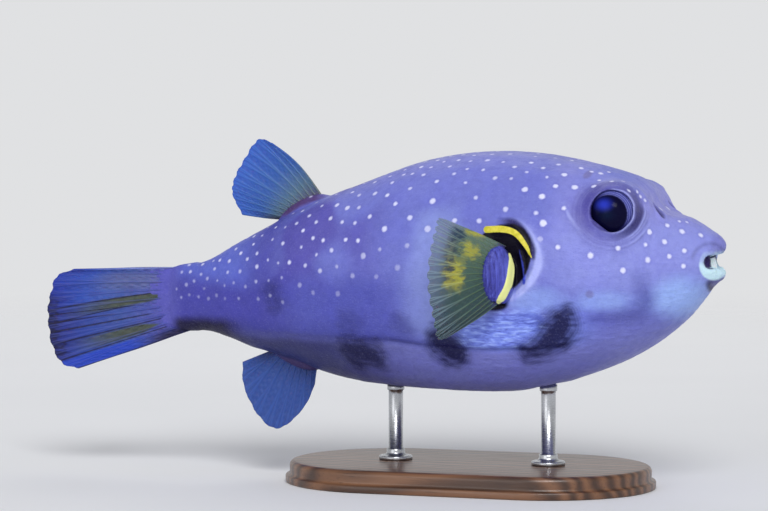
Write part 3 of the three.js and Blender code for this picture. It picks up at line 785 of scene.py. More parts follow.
def spot_fields(p, q):
    """Signed distance to the nearest spot's edge, and that spot's strength."""
    spots = scatter_spots(p, q, np.random.default_rng(5))
    for x, z, radius in FACE_SPOTS:
        here = (np.abs(p[:, 0] - x) < 0.6) & (np.abs(p[:, 2] - z) < 0.6)
        for way in (-1, 1):
            near = np.flatnonzero(here & (p[:, 1] * way > 2))
            if len(near):
                spots.append((*p[near[np.argmax(q[near, 1])]], FACE_SPOT_SHRINK * radius, 1.0))
    gap = np.full(len(p), 4.0)
    strength = np.zeros(len(p))
    order = np.argsort(p[:, 0])
    sorted_x = p[order, 0]
    for x, y, z, radius, strong in spots:
        window = order[np.searchsorted(sorted_x, x - radius - 3):np.searchsorted(sorted_x, x + radius + 3)]
        off = length(p[window] - (x, y, z)) - radius
        closer = off < gap[window]
        gap[window[closer]] = off[closer]
        strength[window[closer]] = strong
    return {"spot": gap, "spot_strength": strength}


def gill_fields(q):
    """Signed distances, in millimetres, to the edges of the gill's yellow bands and of its black hollow, how
    pale the bands are, and the share of the fin's lobe."""
    flat = q[:, [0, 2]]
    off_side = 4 * smooth(36, 32, q[:, 1])
    arc = gap_to(flat, *GILL_ARC)
    strip, _ = gill_strip(q)
    lean = 0.25 * (94.5 - flat[:, 1])
    hollow = (np.hypot((flat[:, 0] + lean - 67) / 13, (flat[:, 1] - 94.5) / 14.5) - 1) * 12
    lobe = (1 - lobe_reach(q, (6.2, 8.6, 13.4))) * 6
    black = np.maximum(np.maximum(hollow, lobe), -gap_to(flat, GILL_LINE, (0.1, 0.45, 0.1)))
    return {"band": np.minimum(arc, strip) + off_side, "hollow": black + off_side,
            "band_pale": smooth(-1, 1, arc - strip), "lobe": smooth(0, 1.5, lobe - off_side)}


def wrinkled(q):
    """The share of the fine level wrinkles under the pectoral fin."""
    x, side, z = q.T
    flat = q[:, [0, 2]]
    share = smooth(5, -1, gap_to(flat, PALE_FLANK, WRINKLED_WIDTHS, limit=10))
    share *= smooth(-0.5, 1.5, z - fold_height(x)) * smooth(20, 28, side)
    for path, widths, _ in BLOTCHES[:2]:
        share *= smooth(-1.5, 4.5, gap_to(flat, path, widths, limit=9))
    return {"wrinkled": share}


# ---------------- material nodes

class Shader:
    """A material's node tree, with short calls for the nodes used here. Its colour is laid in layers."""

    def __init__(self, name):
        self.material = bpy.data.materials.new(name)
        self.material.use_nodes = True
        self.tree = self.material.node_tree
        self.tree.nodes.clear()
        self.surface = self.tree.nodes.new("ShaderNodeBsdfPrincipled")
        output = self.tree.nodes.new("ShaderNodeOutputMaterial")
        self.tree.links.new(self.surface.outputs[0], output.inputs["Surface"])
        self.colour = None

    def node(self, kind, inputs, **settings):
        made = self.tree.nodes.new(kind)
        for key, value in settings.items():
            setattr(made, key, value)
        for key, value in inputs.items():
            self.feed(made.inputs[key], value)
        return made

    def feed(self, socket, value):
        if isinstance(value, bpy.types.NodeSocket):
            self.tree.links.new(value, socket)
        elif isinstance(value, tuple) and len(value) == 3 and socket.type == "RGBA":
            socket.default_value = (*value, 1.0)
        else:
            socket.default_value = value

    def set(self, **values):
        for key, value in values.items():
            self.feed(self.surface.inputs[key.replace("_", " ")], value)

    def finished(self, **values):
        """The material, with its colour and the given values of its surface."""
        self.set(Base_Color=self.colour, **values)
        return self.material

    def attribute(self, name, output="Fac"):
        return self.node("ShaderNodeAttribute", {}, attribute_name=name).outputs[output]

    def vector_math(self, operation, a, b=(0.0, 0.0, 0.0), output=0):
        return self.node("ShaderNodeVectorMath", {0: a, 1: b}, operation=operation).outputs[output]

    def places(self, *stretch):
        """Object coordinates in millimetres, stretched along the axes."""
        source = self.node("ShaderNodeTexCoord", {}).outputs["Object"]
        return self.vector_math("MULTIPLY", source, tuple(s / MM for s in stretch or (1.0, 1.0, 1.0)))

    def noise(self, places, size, detail=3.0, rough=0.55, twist=0.0):
        inputs = {"Vector": places, "Scale": 1 / size, "Detail": detail, "Roughness": rough,
                  "Distortion": twist}
        return self.node("ShaderNodeTexNoise", inputs).outputs["Fac"]

    def math(self, operation, a, b=0.0):
        return self.node("ShaderNodeMath", {0: a, 1: b}, operation=operation).outputs[0]

    def times(self, first, *others):
        for other in others:
            first = self.math("MULTIPLY", first, other)
        return first

    def apart(self, a, b):
        return self.math("ABSOLUTE", self.math("SUBTRACT", a, b))

    def fit(self, value, from_low, from_high, to_low=0.0, to_high=1.0, curve="SMOOTHSTEP"):
        inputs = {"Value": value, "From Min": from_low, "From Max": from_high,
                  "To Min": to_low, "To Max": to_high}
        return self.node("ShaderNodeMapRange", inputs, interpolation_type=curve).outputs["Result"]

    def band(self, value, start, full_from, full_to, end):
        """1 between two values, fading to 0 at a start and an end beyond them."""
        return self.times(self.fit(value, start, full_from), self.fit(value, end, full_to))

    def swayed(self, value, noise, amount, low=0, high=1, curve="LINEAR"):
        """A value moved up and down by noise, by up to the amount."""
        return self.math("ADD", value, self.fit(noise, low, high, -amount, amount, curve))

    def mix(self, share, a, b, blend="MIX"):
        made = self.node("ShaderNodeMix", {0: share, 6: a, 7: b}, data_type="RGBA", blend_type=blend)
        return made.outputs[2]

    def lay(self, paint, *shares, blend="MIX"):
        """Lays a paint over the colour, as strong as the product of the shares."""
        self.colour = self.mix(self.times(*shares), self.colour, paint, blend)

    def ramp(self, value, *stops):
        made = self.node("ShaderNodeValToRGB", {"Fac": value})
        elements = made.color_ramp.elements
        while len(elements) < len(stops):
            elements.new(0.5)
        for element, (place, colour) in zip(elements, stops):
            element.position = place
            element.color = (*colour, 1.0)
        return made.outputs[0]

    def bump(self, height, rise, strength=1.0, below=None):
        inputs = {"Height": height, "Distance": rise * MM, "Strength": strength}
        if below is not None:
            inputs["Normal"] = below
        return self.node("ShaderNodeBump", inputs).outputs[0]


SPOT_WHITE = srgb(218, 220, 252)
SPOT_HALO = srgb(84, 80, 176)
YELLOW = srgb(200, 192, 52)
YELLOW_WARM = srgb(226, 214, 84)
YELLOW_PALE = srgb(238, 242, 158)
LOBE_STREAK = srgb(106, 116, 216)


def skin_material():
    s = Shader("skin")
    places = s.places()
    mottle = s.noise(places, 3.2, 5.0, 0.62)
    grain = s.noise(places, 0.7)
    s.colour = s.attribute("tint", "Color")
    s.lay(srgb(104, 78, 168), s.fit(mottle, 0.38, 0.72, 0.0, 0.14), blend="MULTIPLY")
    s.lay(srgb(186, 178, 240), s.fit(s.noise(places, 11.0), 0.4, 0.7, 0.0, 0.14), blend="SOFT_LIGHT")
    s.lay(srgb(200, 200, 255), s.fit(grain, 0.5, 0.8, 0.0, 0.08), blend="SCREEN")

    wrinkled_share, lobe_share = s.attribute("wrinkled"), s.attribute("lobe")
    # Furrows painted darker as painted shade and ridges lighter as painted highlight, with the same noise
    # that bumps them.
    level = s.noise(s.places(0.24, 0.24, 1.0), 1.15, 2.0, 0.5, 0.4)
    s.lay(FURROW_SHADE, wrinkled_share, s.fit(level, 0.5, 0.3, 0.0, 0.6))
    s.lay(WRINKLE_HIGHLIGHT, wrinkled_share, s.fit(level, 0.48, 0.66, 0.0, 0.7))
    streaks = s.noise(s.places(1.0, 1.0, 0.07), 1.15, 3.0, 0.6)
    s.lay(GILL_BORDER_DARK, lobe_share, s.fit(streaks, 0.52, 0.3, 0.0, 0.6))
    s.lay(LOBE_STREAK, lobe_share, s.fit(streaks, 0.5, 0.7, 0.0, 0.6))

    ragged = s.swayed(s.attribute("spot"), s.noise(places, 1.1, 2.0), 0.35)
    strength = s.attribute("spot_strength")
    s.lay(SPOT_HALO, s.fit(ragged, 1.6, 0.2, 0.0, 0.16), strength)
    s.lay(SPOT_WHITE, s.fit(ragged, 0.5, -0.5), strength)

    s.lay(GILL_BLACK, s.fit(s.swayed(s.attribute("hollow"), s.noise(places, 1.5, 2.0), 0.3), 0.7, -0.3))
    golden = s.mix(s.fit(s.noise(places, 2.4, 2.0), 0.35, 0.65), YELLOW, YELLOW_WARM)
    golden = s.mix(s.attribute("band_pale"), golden, YELLOW_PALE)
    s.lay(golden, s.fit(s.swayed(s.attribute("band"), grain, 0.12), 0.18, -0.12))

    prickles = s.node("ShaderNodeTexVoronoi", {"Vector": places, "Scale": 1 / 1.7}).outputs[0]
    normal = s.bump(s.noise(s.places(0.7, 0.7, 1.6), 1.25, 4.0, 0.6), 0.28)
    normal = s.bump(s.fit(prickles, 0.34, 0.0), 0.10, 0.8, normal)
    normal = s.bump(grain, 0.05, 0.7, normal)
    normal = s.bump(s.times(level, wrinkled_share), 0.5, 0.7, normal)
    s.set(Subsurface_Weight=0.12, Subsurface_Radius=(0.9, 0.8, 1.3), Subsurface_Scale=1.4 * MM)
    s.set(Coat_Weight=0.04, Coat_Roughness=0.25, Specular_IOR_Level=0.16)
    return s.finished(Normal=normal, Roughness=s.fit(mottle, 0.3, 0.75, 0.36, 0.52))


# ---------------- building the skin

def build_skin():
    grid, solid = flesh_solid()
    skin = new_mesh("skin", *grid.surface(solid))
    subdivided(skin)
    p = listed(skin.data.vertices, "co").astype(float) / MM
    normals = listed(skin.data.vertices, "normal").astype(float)
    raised = (p + normals * relief(p, folded(p))[:, None]) * MM
    skin.data.vertices.foreach_set("co", raised.astype(np.float32).ravel())
    skin.data.update()
    p = listed(skin.data.vertices, "co").astype(float) / MM
    q = folded(p)
    for name, values in {"tint": tint_of(p, q), **spot_fields(p, q), **gill_fields(q), **wrinkled(q)}.items():
        store(skin, name, values)
    hand_over(skin, "skin", skin_material(), *FLESH, *FIN_BASES, *PECTORAL_BASES, *LIPS, *NOSTRILS)


build_skin()


# ---------------- eyes

def lathe(profile, segments, axis, up, centre):
    """Points and faces of a surface turned about an axis. profile is [distance from the axis, height along
    it], starting and ending on the axis."""
    angles = np.linspace(0, 2 * np.pi, segments, endpoint=False)
    outwards = np.cos(angles)[:, None] * up + np.sin(angles)[:, None] * np.cross(axis, up)
    inner = profile[1:-1]
    rings = centre + inner[:, None, 1:] * axis + inner[:, None, :1] * outwards[None]
    points = np.vstack([centre + profile[0, 1] * axis, rings.reshape(-1, 3), centre + profile[-1, 1] * axis])
    step = np.arange(segments)
    following = (step + 1) % segments
    last = 1 + (len(inner) - 1) * segments
    caps = np.vstack([np.stack([0 * step, 1 + following, 1 + step], axis=1),
                      np.stack([0 * step + len(points) - 1, last + step, last + following], axis=1)])
    return outward(points, ring_quads(len(inner), segments, 1), caps)


BALL_ROWS = 72
BALL_SEGMENTS = 96
# Places on the eyeball are [forward, upward] from its axis.
PUPIL = 7.5
PUPIL_MIDDLE = (-1.3, -1.2)
# Middles of the painted blue reflection and of the painted sheen.
REFLECTION_MIDDLE = (-3.0, 2.4)
SHEEN = (-1.8, -1.8)


def eye_ball(name, side, look):
    """An eyeball with a raised clear front, drawn in behind the lids. side is -1 for the right eye."""
    turn = np.linspace(0, np.pi, BALL_ROWS)
    radius = EYE_RADIUS - 0.05 + 0.35 * smooth(0.62, 0.2, turn) - 2.4 * smooth(1.02, 1.38, turn)
    profile = np.stack([radius * np.sin(turn), radius * np.cos(turn)], axis=1)
    profile[[0, -1], 0] = 0
    points, *faces = lathe(profile, BALL_SEGMENTS, EYE_AXIS, EYE_UP, EYE)
    distance, angle, facing = eye_places(points)
    forward, upward = distance * np.cos(angle), distance * np.sin(angle)

    def off(place, flatness):
        return np.hypot(forward - place[0], (upward - place[1]) * flatness)
    made = new_mesh(name, *outward(points * (1, side, 1), *faces))
    store(made, "off_axis", off(PUPIL_MIDDLE, 1) + 20 * (1 - facing))
    store(made, "painted_reflection", smooth(5.6, 0.2, off(REFLECTION_MIDDLE, 1.35)) ** 1.3)
    store(made, "sheen", hump(off(SHEEN, 1.4), 2.8))
    store(made, "front_top", smooth(-4, 6, forward * 0.8 + upward * 0.7))
    hand_over(made, "eye", look, name.replace("ball", "eye"))


def eye_material():
    """A nearly black dome with a painted blue reflection and a painted sheen, and a paler margin towards the
    front and the top.
    """
    s = Shader("eye")
    places = s.places()
    off_axis = s.swayed(s.attribute("off_axis"), s.noise(places, 0.8), 0.25)
    front_top = s.attribute("front_top")
    speck = s.noise(places, 0.5, 4.0, 0.7)
    margin = s.mix(speck, srgb(30, 26, 80), srgb(54, 50, 124))
    margin = s.mix(front_top, margin, s.mix(speck, srgb(66, 68, 142), srgb(88, 94, 172)))
    # Painted sheen low on the dome and a painted blue reflection above it.
    s.colour = s.mix(s.attribute("sheen"), srgb(10, 9, 42), srgb(10, 22, 52))
    s.lay(srgb(42, 56, 180), s.attribute("painted_reflection"))
    s.lay(margin, s.fit(off_axis, PUPIL - 0.5, PUPIL + 0.7))
    for radius, share in ((7.7, 0.4), (8.4, 0.55), (9.1, 0.7), (9.8, 0.7)):
        line = s.fit(s.apart(off_axis, radius), 0.2, 0.03)
        s.lay(srgb(138, 142, 208), line, s.fit(front_top, 0.2, 0.9, 0.04, share))
    s.set(Coat_Weight=0.07, Coat_Roughness=0.06, Specular_IOR_Level=0.02)
    return s.finished(Roughness=s.fit(s.noise(places, 1.4), 0.3, 0.7, 0.2, 0.34))


eye_look = eye_material()
eye_ball("ball_right", -1, eye_look)
eye_ball("ball_left", 1, eye_look)


# ---------------- teeth

def thin_body(name, sides, way, **fields):
    """A closed body between two grids of points, laid on the other side of the fish if way is -1. Each field
    is stored on both of its sides."""
    columns, rows, _ = sides[0].shape
    count = columns * rows
    points = np.vstack([side.reshape(-1, 3) for side in sides]) * (1, way, 1)
    index = np.arange(count).reshape(columns, rows)
    front = np.stack([index[:-1, :-1], index[1:, :-1], index[1:, 1:], index[:-1, 1:]], axis=-1).reshape(-1, 4)
    rim = np.concatenate([index[:, 0], index[-1, 1:], index[-2::-1, -1], index[0, -2:0:-1]])
    following = np.roll(rim, -1)
    wall = np.stack([rim, rim + count, following + count, following], axis=-1)
    made = new_mesh(name, *outward(points, np.vstack([front, front[:, ::-1] + count, wall])))
    for key, values in fields.items():
        store(made, key, np.tile(values.ravel(), 2))
    return made


TOOTH_GRID = (22, 20)
TOOTH_THICKNESS = 1.5


def tooth_plate(node, look):
    """A beak plate in its node's box: bowed, thicker at the root, with a worn edge and rounded corners."""
    low, high = corners(node)
    upper = "upper" in node
    inner, outer = sorted((abs(low[1]), abs(high[1])))
    u, v = np.meshgrid(*(np.linspace(0, 1, count) for count in TOOTH_GRID), indexing="ij")
    rounding = np.sqrt(np.maximum(1 - (2 * np.abs(u - 0.5)) ** 8, 0))
    height = (high[2] - low[2]) * (1 - 0.10 * u**2) * (0.9 + 0.1 * rounding)
    height = height * (1 - 0.025 * np.sin(u * 38) * smooth(0.6, 1, v))
    y = inner + (outer + 0.35 - inner) * u
    z = high[2] - v * height if upper else low[2] + v * height
    lean = 0.12 if upper else 1.4
    front = high[0] - 0.09 * ((outer + 0.35) * u) ** 2 - lean * v + 0.25 * np.sin(np.pi * v)
    thick = TOOTH_THICKNESS * (1 - 0.72 * v**2) * (0.35 + 0.65 * rounding)
    sides = [np.stack([front, y, z], axis=-1), np.stack([front - thick, y, z], axis=-1)]
    made = thin_body(node.replace("tooth", "beak"), sides, np.sign(low[1] + high[1]),
                     toward_edge=v, aside=u - (0.12 if upper else -0.12))
    hand_over(made, "tooth", look, node)


def tooth_material():
    s = Shader("tooth")
    streak = s.noise(s.places(1.0, 1.0, 0.35), 0.5, 4.0)
    s.colour = s.mix(s.fit(streak, 0.3, 0.7), srgb(214, 232, 240), srgb(240, 250, 252))
    s.lay(srgb(176, 196, 222), s.fit(s.attribute("toward_edge"), 0.45, 0.0, 0.0, 0.5))
    # The plate's outer end is painted dark: the gum over it, in painted shade.
    gum = s.swayed(s.attribute("aside"), streak, 0.06, curve="SMOOTHSTEP")
    s.lay(MOUTH_SHADE, s.fit(gum, 0.76, 0.9, 0.0, 0.95))
    s.set(Coat_Weight=0.3, Coat_Roughness=0.12, Subsurface_Weight=0.1, Subsurface_Scale=0.8 * MM)
    return s.finished(Normal=s.bump(streak, 0.08), Roughness=s.fit(streak, 0.3, 0.7, 0.22, 0.36))


tooth_look = tooth_material()
for tooth_node in ("upper_tooth_right", "upper_tooth_left", "lower_tooth_right", "lower_tooth_left"):
    tooth_plate(tooth_node, tooth_look)


# ---------------- fins

CURVE_POINTS = 200
FORKS = (0.35, 0.6)


def outline(node, root, edge):
    """Curves of an upright fin's root and edge, given as shares of its node's box from the front and the
    bottom."""
    low, high = corners(node)
    corner = np.array([high[0], low[2]])
    size = np.array([low[0] - high[0], high[2] - low[2]])
    return [catmull(corner + np.array(shares) * size, CURVE_POINTS) for shares in (root, edge)]


def between(curves, s, reach):
    """Places between two curves: s is the share along them, and reach the share of the way across."""
    at = np.linspace(0, 1, CURVE_POINTS)
    root, edge = (np.stack([np.interp(s, at, curve[:, k]) for k in (0, 1)], axis=-1) for curve in curves)
    return root * (1 - reach[..., None]) + edge * reach[..., None]


def ray_places(s, t, rays):
    """How far each place is from the nearest strand of a ray, and the ray's number. Rays fork outward."""
    at = s * (rays - 1)
    number = np.clip(np.round(at), 0, rays - 1)
    split = 0.25 * smooth(FORKS[0], 1.15, t)
    again = 0.11 * smooth(FORKS[1], 1.2, t)
    strands = [np.abs(at - number + a * split + b * again) for a in (-1, 1) for b in (-1, 1)]
    return np.min(strands, axis=0), number


def fin_sheet(name, node, slot, look, place, rays, per_ray, rows, thickness, notch, way=1):
    """A fin with raised forked rays and a thin web between them. place(s, t) gives its middle surface."""
    columns = (rays - 1) * per_ray + 1
    s, t = np.meshgrid(np.linspace(0, 1, columns), np.linspace(0, 1, rows) ** 0.9, indexing="ij")
    away, number = ray_places(s, t, rays)
    ragged = np.random.default_rng(len(name)).random(rays)[number.astype(int)]
    web = smooth(0.12, 0.42, np.abs(s * (rays - 1) - number))
    reach = t * (1 - notch * web * smooth(0.5, 1, t) - 0.35 * notch * ragged * smooth(0.6, 1, t))
    step = 0.004
    across = place(np.minimum(s + step, 1), reach) - place(np.maximum(s - step, 0), reach)
    out = place(s, np.minimum(reach + step, 1)) - place(s, np.maximum(reach - step, 0))
    normal = np.cross(across, out)
    normal /= np.linalg.norm(normal, axis=-1, keepdims=True) + 1e-12
    ridge = hump(away, 0.10 - 0.045 * t)
    full = thickness[0] + (thickness[1] - thickness[0]) * t**0.6
    joints = 1 + 0.10 * np.sin(t * 260 + 3 * ragged) * smooth(0.15, 0.4, t)
    half = 0.5 * full * (0.34 + 0.66 * ridge * joints)
    puckers = 0.16 * full * np.sin(t * 70 + 9 * number) * web
    sides = [place(s, reach) + normal * (puckers + lift)[..., None] for lift in (half, -half)]
    made = thin_body(name, sides, way, ray=ridge, along=s, outward=t)
    hand_over(made, slot, look, node)


def upright(curves, wave, sink, bow=0.0, pleats=0.0, folds=0):
    """The middle surface of an upright fin. sink is how much of it is set into the body."""
    def place(s, t):
        reach = t * (1 + sink) - sink
        flat = between(curves, s, reach)
        y = wave * t * np.sin(2 * np.pi * s) + pleats * smooth(0.05, 0.5, t) * np.sin(2 * np.pi * folds * s)
        bend = bow * np.sin(np.pi * np.clip(reach, 0, 1)) * np.where(s < 0.5, s - 0.5, 0.1 * (s - 0.5))
        return np.stack([flat[..., 0], y, flat[..., 1] + bend], axis=-1)
    return place


DORSAL = outline("dorsal_fin", [(-0.03, 0.31), (0.20, 0.165), (0.40, 0.04)],
                 [(0.54, 0.93), (0.72, 0.98), (0.88, 0.74), (0.985, 0.50), (0.99, 0.32), (0.89, 0.09)])
ANAL = outline("anal_fin", [(-0.01, 0.85), (0.255, 0.97), (0.52, 1.05)],
               [(0.02, 0.60), (0.13, 0.34), (0.36, 0.09), (0.58, 0.02), (0.82, 0.22), (0.98, 0.56),
                (0.98, 0.86)])
CAUDAL = outline("caudal_fin", [(-0.015, 0.99), (-0.015, 0.69), (-0.015, 0.39)],
                 [(0.80, 0.955), (0.935, 0.88), (0.985, 0.70), (0.995, 0.51), (0.97, 0.28), (0.90, 0.07),
                  (0.77, 0.015)])
# The pectoral fin's root and edge as [reach away from the body, height].
PECTORAL_CURVES = [catmull(points, CURVE_POINTS) for points in (
    [(2, 101), (10, 90), (5, 77.5)],
    [(27, 111.2), (32.4, 111.4), (37, 104), (38.8, 90), (37.4, 76), (33, 65.4), (27, 64.6)])]
PECTORAL_ANCHOR = np.array([70.5, -42.5])
PECTORAL_SWEEP = math.radians(57)
PECTORAL_CURL = 5.0


def pectoral_place(s, t):
    """The middle surface of the right pectoral fin, swept back and cupped towards the tail."""
    flat = between(PECTORAL_CURVES, s, t * 1.06 - 0.06)
    cup = PECTORAL_CURL * t**2 * (1 - 0.8 * np.sin(np.pi * s)) + 0.7 * np.sin(2 * np.pi * s * 2.5) * t**2
    out = np.array([-math.cos(PECTORAL_SWEEP), -math.sin(PECTORAL_SWEEP)])
    back = out[::-1] * (1, -1)
    level = PECTORAL_ANCHOR + flat[..., :1] * out + cup[..., None] * back
    return np.stack([level[..., 0], level[..., 1], flat[..., 1]], axis=-1)


def fin_shader(name):
    s = Shader(name)
    return s, s.attribute("ray"), s.attribute("along"), s.attribute("outward")


def finished_fin(s, ray, out, clear):
    """Web that lets light through, fading toward its edge, and harder rays."""
    fibre = s.noise(s.places(), 0.45)
    s.lay(srgb(190, 200, 240), s.fit(fibre, 0.4, 0.75, 0.0, 0.22), blend="SOFT_LIGHT")
    web = s.math("SUBTRACT", 1.0, s.fit(out, 0.45, 1.0, 0.0, clear))
    s.set(Alpha=s.math("MAXIMUM", web, s.fit(ray, 0.1, 0.8, 0.0, 0.97)))
    s.set(Subsurface_Weight=0.15, Subsurface_Scale=1.0 * MM, Coat_Weight=0.06, Specular_IOR_Level=0.25)
    return s.finished(Normal=s.bump(fibre, 0.12), Roughness=s.fit(fibre, 0.3, 0.7, 0.34, 0.5))


def dorsal_material():
    s, ray, along, out = fin_shader("dorsal fin")
    s.colour = s.ramp(out, (0.0, srgb(70, 48, 92)), (0.14, srgb(84, 80, 112)), (0.3, srgb(78, 108, 132)),
                      (0.55, srgb(48, 88, 160)), (1.0, srgb(38, 86, 186)))
    rays = s.ramp(out, (0.0, srgb(96, 74, 100)), (0.2, srgb(124, 142, 130)), (0.5, srgb(78, 120, 168)),
                  (1.0, srgb(60, 108, 200)))
    s.lay(rays, s.fit(ray, 0.15, 0.8, 0.0, 0.6))
    # Painted shade on the rear of the fin, strongest near the root.
    s.lay(srgb(32, 30, 56), s.fit(along, 0.86, 1.0), s.fit(out, 0.9, 0.2))
    return finished_fin(s, ray, out, 0.14)


def anal_material():
    s, ray, along, out = fin_shader("anal fin")
    s.colour = s.ramp(out, (0.0, srgb(58, 62, 124)), (0.3, srgb(52, 78, 146)), (1.0, srgb(44, 76, 152)))
    s.lay(srgb(66, 98, 176), s.fit(ray, 0.15, 0.8, 0.0, 0.3))
    # Painted shade on the front half of the fin's root.
    s.lay(srgb(30, 26, 58), s.fit(along, 0.5, 0.0), s.fit(out, 0.5, 0.0))
    s.lay(srgb(36, 34, 74), s.fit(along, 0.8, 1.0), s.fit(out, 0.8, 0.1))
    return finished_fin(s, ray, out, 0.12)


# Dark lines of the caudal fin as [place from its top down, width, start]: shares of the fin. The upper ones
# lean by SKEW.
CAUDAL_LINES = ((0.335, 0.015, 0.14), (0.44, 0.010, 0.4), (0.50, 0.007, 0.35), (0.56, 0.010, 0.5),
                (0.62, 0.012, 0.25), (0.70, 0.012, 0.16), (0.82, 0.014, 0.1), (0.995, 0.022, 0.0))
SKEW = 0.13


def caudal_material():
    """Violet at the root, olive in two wedges, blue behind and below, with dark lines and a dark edge."""
    s, ray, along, out = fin_shader("caudal fin")
    places = s.places(0.25, 1, 1)
    s.colour = s.ramp(out, (0.0, FIN_ROOT), (0.26, srgb(84, 88, 168)), (0.5, srgb(64, 88, 158)),
                      (0.8, srgb(44, 76, 170)), (1.0, srgb(30, 56, 168)))
    s.lay(srgb(100, 108, 150), s.fit(s.apart(along, 0.2), 0.18, 0.04), s.band(out, 0.15, 0.35, 0.5, 0.8), 0.7)
    s.lay(srgb(36, 48, 122), s.band(along, 0.42, 0.52, 0.7, 0.8), s.fit(out, 0.3, 0.9, 0.1, 0.6))
    s.lay(srgb(58, 64, 132), s.fit(s.noise(places, 3.0), 0.35, 0.7, 0.0, 0.4))
    skewed = s.math("SUBTRACT", along, s.times(out, SKEW))
    olive = s.mix(s.noise(s.places(0.3, 1, 1), 1.6), srgb(50, 58, 58), srgb(84, 92, 80))
    for across, low, high, start, end in ((skewed, 0.33, 0.43, 0.17, 0.85), (along, 0.71, 0.80, 0.22, 0.85)):
        tip = s.fit(out, start, start + 0.16, 0.05, 0.0)
        s.lay(olive, s.fit(s.math("SUBTRACT", across, tip), low - 0.012, low + 0.012),
              s.fit(s.math("ADD", across, tip), high + 0.02, high - 0.012),
              s.fit(out, start - 0.03, start + 0.03), s.fit(out, end + 0.1, end - 0.35, 0.15, 1.0))
    s.lay(srgb(36, 66, 178), s.fit(along, 0.82, 0.86), s.fit(out, 0.25, 0.55))
    s.lay(STALK_DARK, s.fit(along, 0.8, 0.95), s.fit(out, 0.5, 0.2), 0.9)
    # A painted highlight along the fin's top edge.
    s.lay(srgb(160, 172, 240), s.fit(along, 0.05, 0.0, 0.0, 0.5), s.fit(out, 0.95, 0.4))
    s.lay(srgb(22, 28, 112), s.band(along, 0.15, 0.4, 0.78, 0.86), s.fit(out, 0.7, 1.0), 0.7)
    for at, width, start in CAUDAL_LINES:
        near = s.fit(s.apart(skewed if at < 0.45 else along, at), width, 0.0)
        s.lay(srgb(16, 12, 44), near, s.fit(out, start, start + 0.1, 0.0, 0.9))
    ragged = s.swayed(out, s.noise(places, 1.2), 0.12, curve="SMOOTHSTEP")
    s.lay(srgb(14, 12, 52), s.band(along, 0.28, 0.42, 0.78, 0.84), s.fit(ragged, 0.9, 1.0), 0.85)
    s.lay(srgb(92, 104, 190), s.fit(ray, 0.2, 0.9, 0.0, 0.18))
    return finished_fin(s, ray, out, 0.02)


# Yellow patches of the pectoral fin as shares [from, to] from its top down, [from, to] outward, and strength.
YELLOW_PATCHES = ((-0.1, 0.10, 0.42, 0.58, 0.8), (0.22, 0.36, 0.33, 0.48, 0.8),
                  (0.40, 0.58, 0.50, 0.70, 0.9), (0.26, 0.40, 0.66, 0.74, 0.25))


def pectoral_material():
    """Green at the root and grey at the edge, with yellow patches and dark gaps between them."""
    s, ray, along, out = fin_shader("pectoral fin")
    s.colour = s.ramp(along, (0.0, srgb(104, 124, 112)), (0.35, srgb(80, 104, 88)), (0.7, srgb(54, 78, 76)),
                      (1.0, srgb(48, 66, 74)))
    s.lay(srgb(132, 146, 186), s.fit(out, 0.55, 1.0), s.fit(along, 0.8, 0.2))
    rays = s.mix(s.fit(out, 0.3, 1.0), srgb(96, 122, 84), srgb(126, 146, 160))
    jagged = s.noise(s.places(0.35, 0.35, 1.0), 1.6, 3.0, 0.6)
    reach = s.swayed(out, jagged, 0.12, 0.2, 0.8)
    across = s.swayed(along, s.noise(s.places(), 3.5, 2.0), 0.07)
    for top, bottom, start, end, share in YELLOW_PATCHES:
        patch = s.times(s.band(across, top - 0.04, top + 0.05, bottom - 0.04, bottom + 0.06),
                        s.band(reach, start - 0.1, start + 0.05, end - 0.04, end + 0.12))
        s.lay(srgb(176, 172, 60), patch, share)
        rays = s.mix(s.times(patch, 0.8 * share), rays, srgb(190, 190, 96))
    s.lay(srgb(28, 52, 78), s.band(across, 0.08, 0.16, 0.5, 0.62), s.band(reach, 0.54, 0.64, 0.74, 0.84),
          s.fit(jagged, 0.35, 0.6, 0.2, 0.85))
    s.lay(srgb(64, 66, 120), s.fit(out, 0.2, 0.04))
    s.lay(rays, s.fit(ray, 0.15, 0.8, 0.0, 0.6))
    return finished_fin(s, ray, out, 0.34)


fin_sheet("fin_dorsal", "dorsal_fin", "fin", dorsal_material(), upright(DORSAL, 1.2, 0.12, bow=-5.5),
          rays=11, per_ray=16, rows=60, thickness=(2.4, 0.7), notch=0.012)
fin_sheet("fin_anal", "anal_fin", "fin", anal_material(), upright(ANAL, -1.2, 0.12),
          rays=10, per_ray=16, rows=60, thickness=(2.4, 0.7), notch=0.01)
fin_sheet("fin_caudal", "caudal_fin", "fin", caudal_material(),
          upright(CAUDAL, 0.9, 0.06, pleats=0.35, folds=4),
          rays=10, per_ray=24, rows=90, thickness=(3.0, 0.8), notch=0.009)
pectoral_look = pectoral_material()
for fin_side, fin_way in (("right", 1), ("left", -1)):
    fin_sheet("fin_pectoral_" + fin_side, "pectoral_fin_" + fin_side, "pectoral_fin", pectoral_look,
              pectoral_place, rays=17, per_ray=14, rows=64, thickness=(1.7, 0.6), notch=0.03, way=fin_way)


# ---------------- stand

def arc(across, up, width, height, steps, hollow=False):
    """A quarter turn of a profile on from a place, by a width across and a height up, bulging or hollow."""
    turn = np.linspace(0, np.pi / 2, steps)
    slow, fast = 1 - np.cos(turn), np.sin(turn)
    if hollow:
        slow, fast = fast, slow
    return list(zip(across + width * slow, up + height * fast))


PLINTH_SEGMENTS = 160


def stadium(reach, radius, count):
    """An outline of two half circles and straight sides, as x and y from its middle."""
    angles = np.linspace(-np.pi / 2, 1.5 * np.pi, count, endpoint=False)
    shift = np.where(angles < np.pi / 2, reach, -reach)
    return np.stack([shift + radius * np.cos(angles), radius * np.sin(angles)], axis=1)


